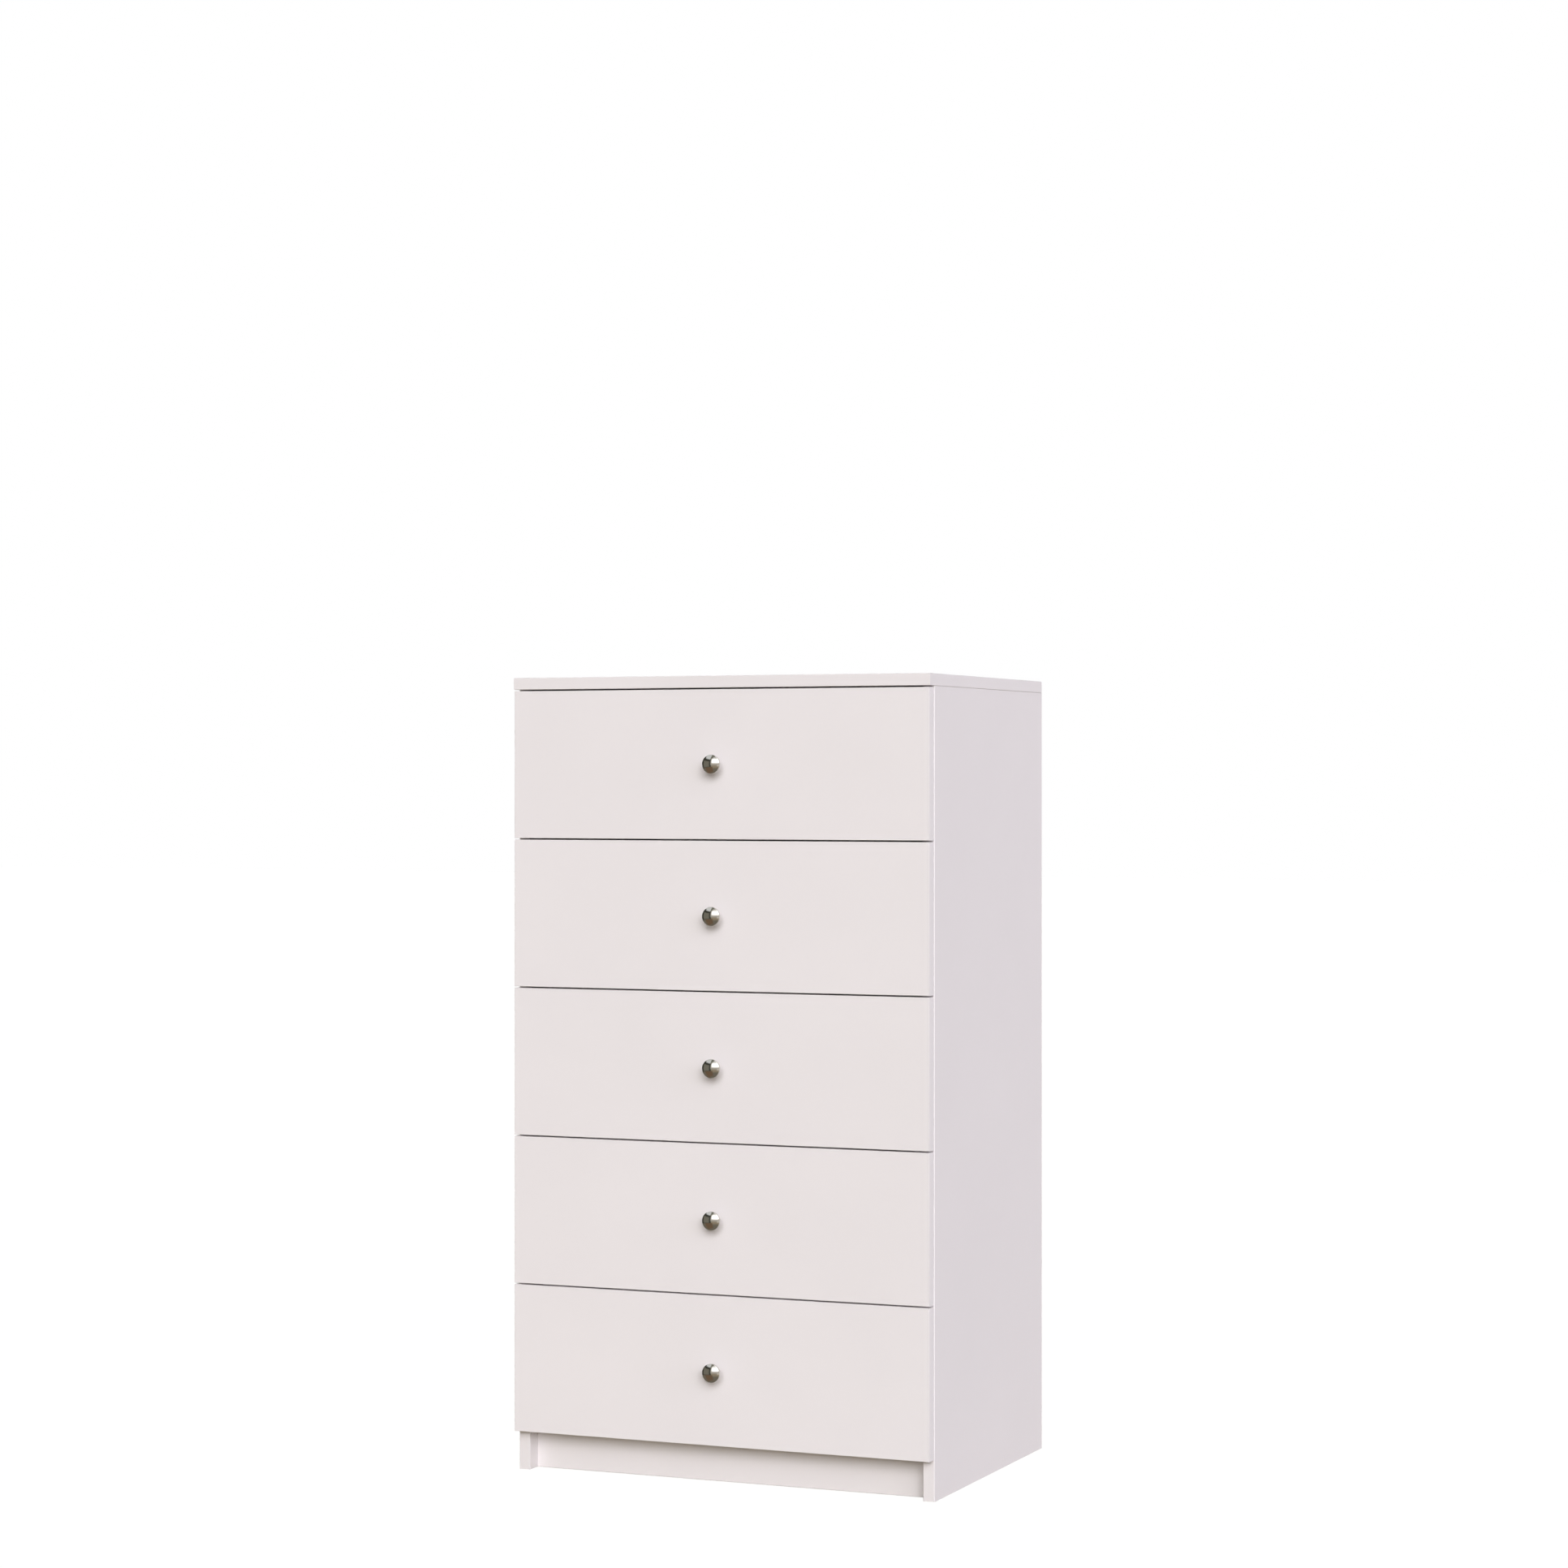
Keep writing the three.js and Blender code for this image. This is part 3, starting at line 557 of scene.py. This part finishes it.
drawer_finishes = board_finishes(OFF_WHITE, "drawer_board")
for drawer in DRAWERS:
    body = f"drawer_{drawer}"
    for name, side in SIDES:
        low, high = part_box(f"{body}_{name}_side")
        across, inwards, strips = banded_section(high.x - low.x, high.z - low.z)
        ends = np.array([[low.y], [high.y]])
        loops = points(low.x + across, ends, high.z - inwards)
        panel = skin(f"{body}_{name}_side_board", loops, strips, (RAW, RAW), drawer_finishes)
        dress(panel, body, "drawer_board", f"{body}_{name}_side")
    low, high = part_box(f"{body}_back")
    across, inwards, strips = banded_section(high.y - low.y, high.z - low.z)
    ends = np.array([[low.x], [high.x]])
    loops = points(ends, low.y + across, high.z - inwards)
    panel = skin(f"{body}_back_board", loops, strips, (RAW, RAW), drawer_finishes)
    dress(panel, body, "drawer_board", f"{body}_back")
    low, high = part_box(f"{body}_bottom")
    loops = sheet(low, high, "z")
    panel = skin(f"{body}_bottom_sheet", loops, [[BARE] * 4], (BARE, LACQUERED), sheet_finishes)
    dress(panel, body, "hardboard", f"{body}_bottom")

# ---------------------------------------------------------------- cabinet runners
# Each drawer runs on two roller runners. The cabinet half is a channel folded from 1.2 mm steel,
# powder coated white, with a nylon roller riveted to its front, and three countersunk screws hold
# it to the side panel. Its top flange is cut back at the front, where a drawer is lifted out.

STEEL = 1.2 * MM
BEND = 0.8 * MM  # radius inside a bend
BEND_FACETS = 5
CHANNEL_WIDTH = 10.45 * MM
CHANNEL_HEIGHT = 25.0 * MM
CHANNEL_LIP = 3.0 * MM
LIFT_OUT_NOTCH = 45.0 * MM
NOTCH_STUB = 2.6 * MM  # what is left of the top flange beside its bend
NOTCH_SLOPE = 0.6 * MM  # length over which the cut runs out
STOP_TAB_PLACE = 68.0 * MM
STOP_TAB_HEIGHT = 5.0 * MM
ROLLER_START = 1.6 * MM  # from the side panel
ROLLER_END = 8.85 * MM
ROLLER_INSET = 12.0 * MM
CABINET_ROLLER = 9.25 * MM  # radius
ROLLER_CLEARANCE = 0.3 * MM
ROLLER_FACETS = 64
RIVET = 3.4 * MM  # radius of the head
RIVET_SHANK = 0.8 * RIVET
RIVET_FACETS = 32
RIVET_STEPS = 6
CABINET_RIVET = 0.7 * MM  # height of the head
SCREW_PLACES = np.array([37.0, 165.0, 293.0]) * MM  # from the front edge of a side panel
SCREW_HEAD = 3.15 * MM  # radius
SCREW_RECESS = 0.8 * MM
HEAD_RINGS = 15
HEAD_FACETS = 48
CROSS_REACH = 0.62  # these four are shares of a head's radius
CROSS_WIDTH = 0.14
CROSS_SLOPE = 0.08
CROSS_CENTRE = 0.08
HEAD_BACK = 1.2  # depth of a head's flat back, in heights of its crown and recess together
PROUD = 0.05 * MM  # how far a sunk screw stands out of what it holds
UP = np.array([0.0, 0.0, 1.0])
STEEL_WHITE = (0.80, 0.79, 0.77)
NYLON = (0.74, 0.73, 0.70)
NYLON_ROUGHNESS = 0.38
ZINC = (0.62, 0.63, 0.64)
ZINC_ROUGHNESS = 0.28
COAT_ROUGHNESS = 0.28
COAT_WEAR = 0.12
COAT_DRIFT = 0.03
PLATE_CLEAN = 0.6  # shares of a plating's roughness, where it is clean and what full marks add
PLATE_MARKED = 0.8


def powder_coat(colour, name):
    """Baked powder: glossy, with the shallow orange peel that it sets with."""
    made = bpy.data.materials.new(name)
    tree = node_tree(made)
    place = tree.node("ShaderNodeTexCoord")["Object"]
    peel = tree.node("ShaderNodeTexNoise", None, {"Vector": place, "Scale": 420.0, "Detail": 1.0})
    wear = tree.node("ShaderNodeTexNoise", None, {"Vector": place, "Scale": 30.0, "Detail": 3.0})
    stops = [(0.3, tuple((1 - COAT_DRIFT) * c for c in colour)), (0.7, colour)]
    tone = tree.node("ShaderNodeValToRGB", {"stops": stops}, {"Fac": wear})
    bump = tree.node("ShaderNodeBump", None, {"Strength": 0.3, "Distance": 0.05 * MM, "Height": peel})
    coat = {"Base Color": tone, "Roughness": COAT_ROUGHNESS + COAT_WEAR * wear, "Normal": bump}
    made_coat = tree.node("ShaderNodeBsdfPrincipled", None, coat)
    tree.node("ShaderNodeOutputMaterial", None, {"Surface": made_coat})
    return made


def plated(colour, name, roughness):
    """Plated metal with fine marks from handling and the tumbler, which blur its shine in places."""
    made = bpy.data.materials.new(name)
    tree = node_tree(made)
    place = tree.node("ShaderNodeTexCoord")["Object"]
    marks = tree.node("ShaderNodeTexNoise", None, {"Vector": place, "Scale": 500.0, "Detail": 5.0})
    metal = {
        "Base Color": (*colour, 1),
        "Metallic": 1.0,
        "Roughness": roughness * (PLATE_CLEAN + PLATE_MARKED * marks),
    }
    shader = tree.node("ShaderNodeBsdfPrincipled", None, metal)
    tree.node("ShaderNodeOutputMaterial", None, {"Surface": shader})
    return made


def folded_section(line):
    """Outline of a folded steel sheet, from the line along the middle of its thickness. Each square
    corner becomes two quarter circles about one centre, BEND inside and BEND + STEEL outside."""
    line = np.array(line, float)
    ways = np.diff(line, axis=0)
    ways /= np.linalg.norm(ways, axis=1)[:, None]
    beside = ways[:, ::-1] * (-STEEL / 2, STEEL / 2)
    turn = np.linspace(0, np.pi / 2, BEND_FACETS + 1)[:, None]
    middle = BEND + STEEL / 2
    left, right = [line[:1] + beside[:1]], [line[:1] - beside[:1]]
    for corner, before, after in zip(line[1:-1], ways[:-1], ways[1:]):
        hand = np.sign(before[0] * after[1] - before[1] * after[0])
        centre = corner + (after - before) * middle
        spoke = np.sin(turn) * before - np.cos(turn) * after
        left.append(centre + spoke * (middle - hand * STEEL / 2))
        right.append(centre + spoke * (middle + hand * STEEL / 2))
    left.append(line[-1:] + beside[-1:])
    right.append(line[-1:] - beside[-1:])
    return np.concatenate([*left, *[part[::-1] for part in right[::-1]]])


def rings_and_poles(name, rings, poles, centres, finishes):
    """One piece with the same closed form at each of several places. rings[k, i] is point i of ring k.
    Quads join each ring to the next, and fans join the first and last rings to the two poles."""
    count = rings.shape[0] * rings.shape[1]
    index = np.arange(count).reshape(rings.shape[:2])
    near, far = index[:-1], index[1:]
    quads = np.stack([near, np.roll(near, -1, 1), np.roll(far, -1, 1), far], -1).reshape(-1, 4)
    start = np.full(rings.shape[1], count)
    first = np.stack([start, np.roll(index[0], -1), index[0]], -1)
    last = np.stack([start + 1, index[-1], np.roll(index[-1], -1)], -1)
    form = np.concatenate([rings.reshape(-1, 3), poles])
    steps = np.arange(len(centres))[:, None, None] * len(form)
    corners = (form + np.array(centres)[:, None]).reshape(-1, 3)
    quads = (quads + steps).reshape(-1, 4)
    fans = (np.concatenate([first, last]) + steps).reshape(-1, 3)
    mesh = bpy.data.meshes.new(name)
    mesh.from_pydata(corners, [], [*quads.tolist(), *fans.tolist()])
    return finished(name, mesh, finishes)


def turned(name, outline, centres, out, facets, finishes):
    """A turned piece at each of several places. outline holds (radius, distance along the axis) and
    starts and ends on the axis; each point between becomes a ring about the direction out: radius
    times (cos a, sin a) across the axis, for facets values of a."""
    out = np.array(out, float)
    across = np.roll(out, 1)
    angle = np.linspace(0, 2 * np.pi, facets, endpoint=False)[:, None]
    spoke = np.cos(angle) * across + np.sin(angle) * np.cross(out, across)
    outline = np.array(outline)
    rings = outline[1:-1, 0, None, None] * spoke + outline[1:-1, 1, None, None] * out
    poles = outline[[0, -1], 1, None] * out
    return rings_and_poles(name, rings, poles, centres, finishes)


def roller_outline(radius):
    """Outline of a nylon roller: eased edges, and a sunk ring on its open side round the hub."""
    ease, land, sunk, hub = 0.7 * MM, 2.2 * MM, 0.9 * MM, 4.6 * MM
    inset = 0.3 * ease  # of the middle point of an eased edge
    length = ROLLER_END - ROLLER_START
    return [
        (0, 0),
        (radius - ease, 0),
        (radius - inset, inset),
        (radius, ease),
        (radius, length - ease),
        (radius - inset, length - inset),
        (radius - ease, length),
        (radius - land, length),
        (radius - land - sunk / 2, length - sunk),
        (hub + sunk / 2, length - sunk),
        (hub, length),
        (0, length),
    ]


def rivet_outline(reach, crown):
    """Outline of a spun rivet head: a shank as long as reach, then a dome of RIVET cos t at
    crown sin t past it, for t from 0 to 90 degrees."""
    turn = np.linspace(0, np.pi / 2, RIVET_STEPS)
    dome = np.stack([RIVET * np.cos(turn), reach + crown * np.sin(turn)], -1)
    dome[-1, 0] = 0
    return [(0, 0), (RIVET_SHANK, 0), (RIVET_SHANK, reach), *dome]


def cross_head(name, radius, crown, recess, centres, out, finishes):
    """Screw heads with a cross recess, on a polar grid: the height is crown (1 - (r / radius)^2), less
    recess wherever a point lies in either arm of the cross. Each head is closed by a flat back."""
    out = np.array(out, float)
    r = np.linspace(CROSS_CENTRE, 1, HEAD_RINGS)[:, None] * radius
    angle = np.linspace(0, 2 * np.pi, HEAD_FACETS, endpoint=False)[None]
    x, y = r * np.cos(angle), r * np.sin(angle)
    beyond = np.maximum(abs(x), abs(y)) - CROSS_REACH * radius
    beside = np.minimum(abs(x), abs(y)) - CROSS_WIDTH * radius
    sunk = np.clip(0.5 - np.maximum(beyond, beside) / (CROSS_SLOPE * radius), 0, 1)
    height = crown * (1 - (r / radius) ** 2) - recess * sunk
    face = x[..., None] * np.cross(UP, out) + y[..., None] * UP + height[..., None] * out
    back = -(crown + recess) * HEAD_BACK * out
    rings = np.concatenate([face, face[-1:] + back])
    poles = np.stack([(crown - recess) * out, back])
    return rings_and_poles(name, rings, poles, centres, finishes)


coat = [powder_coat(STEEL_WHITE, "runner_powder_coat")]
nylon = [faced(NYLON, "roller_nylon", NYLON_ROUGHNESS)]
zinc = [plated(ZINC, "zinc_plate", ZINC_ROUGHNESS)]
panel_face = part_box("right_side_panel")[0].x
panel_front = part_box("right_side_panel")[0].y
middle = STEEL / 2
roller_width = ROLLER_END - ROLLER_START
full = folded_section(
    [
        (CHANNEL_WIDTH, CHANNEL_HEIGHT - middle),
        (middle, CHANNEL_HEIGHT - middle),
        (middle, middle),
        (CHANNEL_WIDTH - middle, middle),
        (CHANNEL_WIDTH - middle, STEEL + CHANNEL_LIP),
    ]
)
in_top_flange = full[:, 1] > CHANNEL_HEIGHT / 2
notched = full.copy()
notched[in_top_flange, 0] = np.minimum(full[in_top_flange, 0], NOTCH_STUB)
sections = np.stack([notched, notched, full, full])
for drawer in DRAWERS:
    for name, side in SIDES:
        node = f"cabinet_runner_{drawer}_{name}"
        low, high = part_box(node)
        web = high.x if side > 0 else low.x
        notch_end = low.y + LIFT_OUT_NOTCH
        along = np.array([[low.y], [notch_end], [notch_end + NOTCH_SLOPE], [high.y]])
        loops = points(web - side * sections[..., 0], along, low.z + sections[..., 1])
        strips = np.zeros(loops.shape[:2], int)[:-1]
        channel = skin(f"{node}_channel", loops, strips, (0, 0), coat)
        dress(channel, "carcass", "runner_steel", node)

        ends = sorted((web - side * CHANNEL_WIDTH, web - side * middle))
        tab_back = low.y + STOP_TAB_PLACE
        tab = sheet(
            (ends[0], tab_back - STEEL, low.z + middle),
            (ends[1], tab_back, low.z + STEEL + STOP_TAB_HEIGHT),
            "y",
        )
        dress(skin(f"{node}_stop_tab", tab, [[0] * 4], (0, 0), coat), "carcass", "runner_steel")

        inward = (-side, 0, 0)
        axle = low.z + STEEL + ROLLER_CLEARANCE + CABINET_ROLLER
        centre = (side * (panel_face - ROLLER_START), low.y + ROLLER_INSET, axle)
        outline = roller_outline(CABINET_ROLLER)
        roller = turned(f"{node}_roller", outline, [centre], inward, ROLLER_FACETS, nylon)
        dress(roller, "carcass", "runner_steel")
        outline = rivet_outline(roller_width, CABINET_RIVET)
        rivet = turned(f"{node}_rivet", outline, [centre], inward, RIVET_FACETS, zinc)
        dress(rivet, "carcass", "runner_steel")

        face = web - side * (STEEL + PROUD)
        places = points(face, panel_front + SCREW_PLACES, low.z + CHANNEL_HEIGHT / 2)
        screws = cross_head(f"{node}_screws", SCREW_HEAD, 0, SCREW_RECESS, places, inward, zinc)
        dress(screws, "carcass", "runner_steel")

# ---------------------------------------------------------------- drawer runners
# The drawer half is folded the other way: a flange under the drawer bottom, a web screwed to the
# side of the box, and a running flange that lies on the cabinet's roller. A second roller, on the
# rear end of the web, runs in the cabinet's channel.

RUNNER_SPACE = 12.5 * MM  # from a side panel to the drawer box
SUPPORT_FLANGE = 14.0 * MM
RUNNING_FLANGE_START = 2.0 * MM  # from the side panel
ROLLER_TOP = 21.5 * MM
DRAWER_ROLLER = 10.0 * MM  # radius
DRAWER_RIVET = 0.3 * MM  # its head is flatter, to pass the web of the channel
FLANGE_CUT = 376.0 * MM  # from the front of the runner to the end of its running flange
WEB_FACE = 12.45 * MM  # from the side panel to the face of the web that lies on the drawer box
CUT_STUB = 0.6 * MM  # what is left of the running flange beside its bend

web_middle = WEB_FACE - middle
full = folded_section(
    [
        (RUNNING_FLANGE_START, ROLLER_TOP - middle),
        (web_middle, ROLLER_TOP - middle),
        (web_middle, middle),
        (RUNNER_SPACE + SUPPORT_FLANGE, middle),
    ]
)
in_running_flange = full[:, 1] > ROLLER_TOP / 2
cut_back = full.copy()
stub = web_middle - middle - BEND - CUT_STUB
cut_back[in_running_flange, 0] = np.maximum(full[in_running_flange, 0], stub)
sections = np.stack([full, full, cut_back, cut_back])
for drawer in DRAWERS:
    body = f"drawer_{drawer}"
    for name, side in SIDES:
        node = f"{body}_{name}_runner"
        low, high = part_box(node)
        cut = low.y + FLANGE_CUT
        along = np.array([[low.y], [cut], [cut + NOTCH_SLOPE], [high.y]])
        loops = points(side * (panel_face - sections[..., 0]), along, low.z + sections[..., 1])
        strips = np.zeros(loops.shape[:2], int)[:-1]
        profile = skin(f"{node}_profile", loops, strips, (0, 0), coat)
        dress(profile, body, "runner_steel", node)

        outward = (side, 0, 0)
        axle = high.y - ROLLER_INSET
        level = low.z + STEEL + ROLLER_CLEARANCE + DRAWER_ROLLER
        centre = (side * (panel_face - ROLLER_END), axle, level)
        outline = roller_outline(DRAWER_ROLLER)
        roller = turned(f"{node}_roller", outline, [centre], outward, ROLLER_FACETS, nylon)
        dress(roller, body, "runner_steel")
        outline = rivet_outline(roller_width, DRAWER_RIVET)
        rivet = turned(f"{node}_rivet", outline, [centre], outward, RIVET_FACETS, zinc)
        dress(rivet, body, "runner_steel")

        face = side * (panel_face - web_middle + middle + PROUD)
        places = points(face, panel_front + SCREW_PLACES, low.z + CHANNEL_HEIGHT / 2)
        screws = cross_head(f"{node}_screws", SCREW_HEAD, 0, SCREW_RECESS, places, outward, zinc)
        dress(screws, body, "runner_steel")

# ---------------------------------------------------------------- knobs
# A turned brass knob, plated with bright nickel: a thick edge and a shallow dome on a slim neck.
# A screw through the front holds it.

KNOB_DOME = 3.5 * MM
KNOB_RIM = 3.0 * MM
KNOB_EDGE = 0.5 * MM  # radius that both corners of the rim are rounded to
KNOB_NECK = 4.0 * MM  # radius
KNOB_NECK_HEIGHT = 8.0 * MM
KNOB_BASE = 4.6 * MM  # radius
KNOB_PROJECTION = 24.0 * MM
KNOB_RADIUS = 12.5 * MM
KNOB_FACETS = 96
FOOT_STEPS, NECK_STEPS, EDGE_STEPS, DOME_STEPS = 12, 16, 7, 24
KNOB_SCREW = 4.0 * MM  # radius of the head
KNOB_SCREW_CROWN = 1.2 * MM
KNOB_SCREW_RECESS = 1.0 * MM
NICKEL = (0.66, 0.64, 0.60)
NICKEL_ROUGHNESS = 0.1


def curve(start, control, end, count):
    """Points of the curve (1 - t)^2 start + 2 t (1 - t) control + t^2 end, for t from 0 to 1."""
    t = np.linspace(0, 1, count)[:, None]
    return (1 - t) ** 2 * np.array(start) + 2 * t * (1 - t) * np.array(control) + t**2 * np.array(end)


def arc(centre_radius, centre_along, radius, start, end, count):
    """Points of an arc about (centre_radius, centre_along), by angles in degrees from outwards."""
    angle = np.radians(np.linspace(start, end, count))
    return np.stack([centre_radius + radius * np.cos(angle), centre_along + radius * np.sin(angle)], -1)


nickel = [plated(NICKEL, "bright_nickel", NICKEL_ROUGHNESS)]
rim_top = KNOB_PROJECTION - KNOB_DOME
rim_bottom = rim_top - KNOB_RIM
edge_centre = KNOB_RADIUS - KNOB_EDGE
sphere = (edge_centre**2 + KNOB_DOME**2) / (2 * KNOB_DOME)
rim_angle = math.degrees(math.acos(edge_centre / sphere))
dome = arc(0, KNOB_PROJECTION - sphere, sphere, rim_angle, 90, DOME_STEPS)
dome[-1, 0] = 0
narrowest = (KNOB_NECK, KNOB_NECK_HEIGHT)
outline = np.concatenate(
    [
        [(0, 0)],
        curve((KNOB_BASE, 0), (KNOB_NECK, 0), narrowest, FOOT_STEPS),
        curve(narrowest, (KNOB_NECK, rim_bottom), (edge_centre, rim_bottom), NECK_STEPS)[1:],
        arc(edge_centre, rim_bottom + KNOB_EDGE, KNOB_EDGE, -90, 0, EDGE_STEPS)[1:],
        arc(edge_centre, rim_top - KNOB_EDGE, KNOB_EDGE, 0, rim_angle, EDGE_STEPS - 1),
        dome,
    ]
)
for drawer in DRAWERS:
    body = f"drawer_{drawer}"
    low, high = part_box(f"{body}_front")
    centre = ((low.x + high.x) / 2, low.y, (low.z + high.z) / 2)
    knob = turned(f"{body}_knob_turning", outline, [centre], (0, -1, 0), KNOB_FACETS, nickel)
    dress(knob, body, "knob_metal", f"{body}_knob")
    inside = (centre[0], high.y, centre[2])
    head = KNOB_SCREW, KNOB_SCREW_CROWN, KNOB_SCREW_RECESS
    screw = cross_head(f"{body}_knob_screw", *head, [inside], (0, 1, 0), zinc)
    dress(screw, body, "knob_metal")

# ---------------------------------------------------------------- drawer fittings
# Flat-pack fittings hold each drawer box together. Two cams, turned with a cross-head driver, sit
# flush in the inner face of each side and grip the front; two screws through each side hold the back.

CAM = 7.4 * MM  # radius
CAM_RECESS = 1.5 * MM
CAM_SETBACK = 24.0 * MM  # from the back of the front to the middle of a cam
FITTING_INSET = 34.0 * MM  # from the top and bottom edges of a side
SIDE_SCREW = 3.6 * MM  # radius of the head
SIDE_SCREW_RECESS = 0.9 * MM

for drawer in DRAWERS:
    body = f"drawer_{drawer}"
    back_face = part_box(f"{body}_front")[1].y
    low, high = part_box(f"{body}_back")
    back_middle = (low.y + high.y) / 2
    for name, side in SIDES:
        low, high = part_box(f"{body}_{name}_side")
        levels = (low.z + FITTING_INSET, high.z - FITTING_INSET)
        inner, outer = (low.x, high.x) if side > 0 else (high.x, low.x)
        node = f"{body}_{name}_side"
        places = points(inner - side * PROUD, back_face + CAM_SETBACK, levels)
        cams = cross_head(f"{node}_cams", CAM, 0, CAM_RECESS, places, (-side, 0, 0), zinc)
        dress(cams, body, "runner_steel")
        places = points(outer + side * PROUD, back_middle, levels)
        head = SIDE_SCREW, 0, SIDE_SCREW_RECESS
        screws = cross_head(f"{node}_screws", *head, places, (side, 0, 0), zinc)
        dress(screws, body, "runner_steel")

# ---------------------------------------------------------------- back panel screws
# Small cross-head screws, in a row along the lower edge, pull the sheet on to the bottom panel.

SHEET_SCREW = 2.9 * MM  # radius of the head
SHEET_SCREW_CROWN = 0.7 * MM
SHEET_SCREW_RECESS = 0.5 * MM
SHEET_SCREWS = 5
END_INSET = 50.0 * MM  # from the edges of the sheet to the first and last screws

low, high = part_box("bottom_panel")
level = (low.z + high.z) / 2
along = np.linspace(back_low.x + END_INSET, back_high.x - END_INSET, SHEET_SCREWS)
places = points(along, back_high.y, level)
head = SHEET_SCREW, SHEET_SCREW_CROWN, SHEET_SCREW_RECESS
screws = cross_head("back_sheet_screws", *head, places, (0, 1, 0), zinc)
dress(screws, "carcass", "runner_steel")
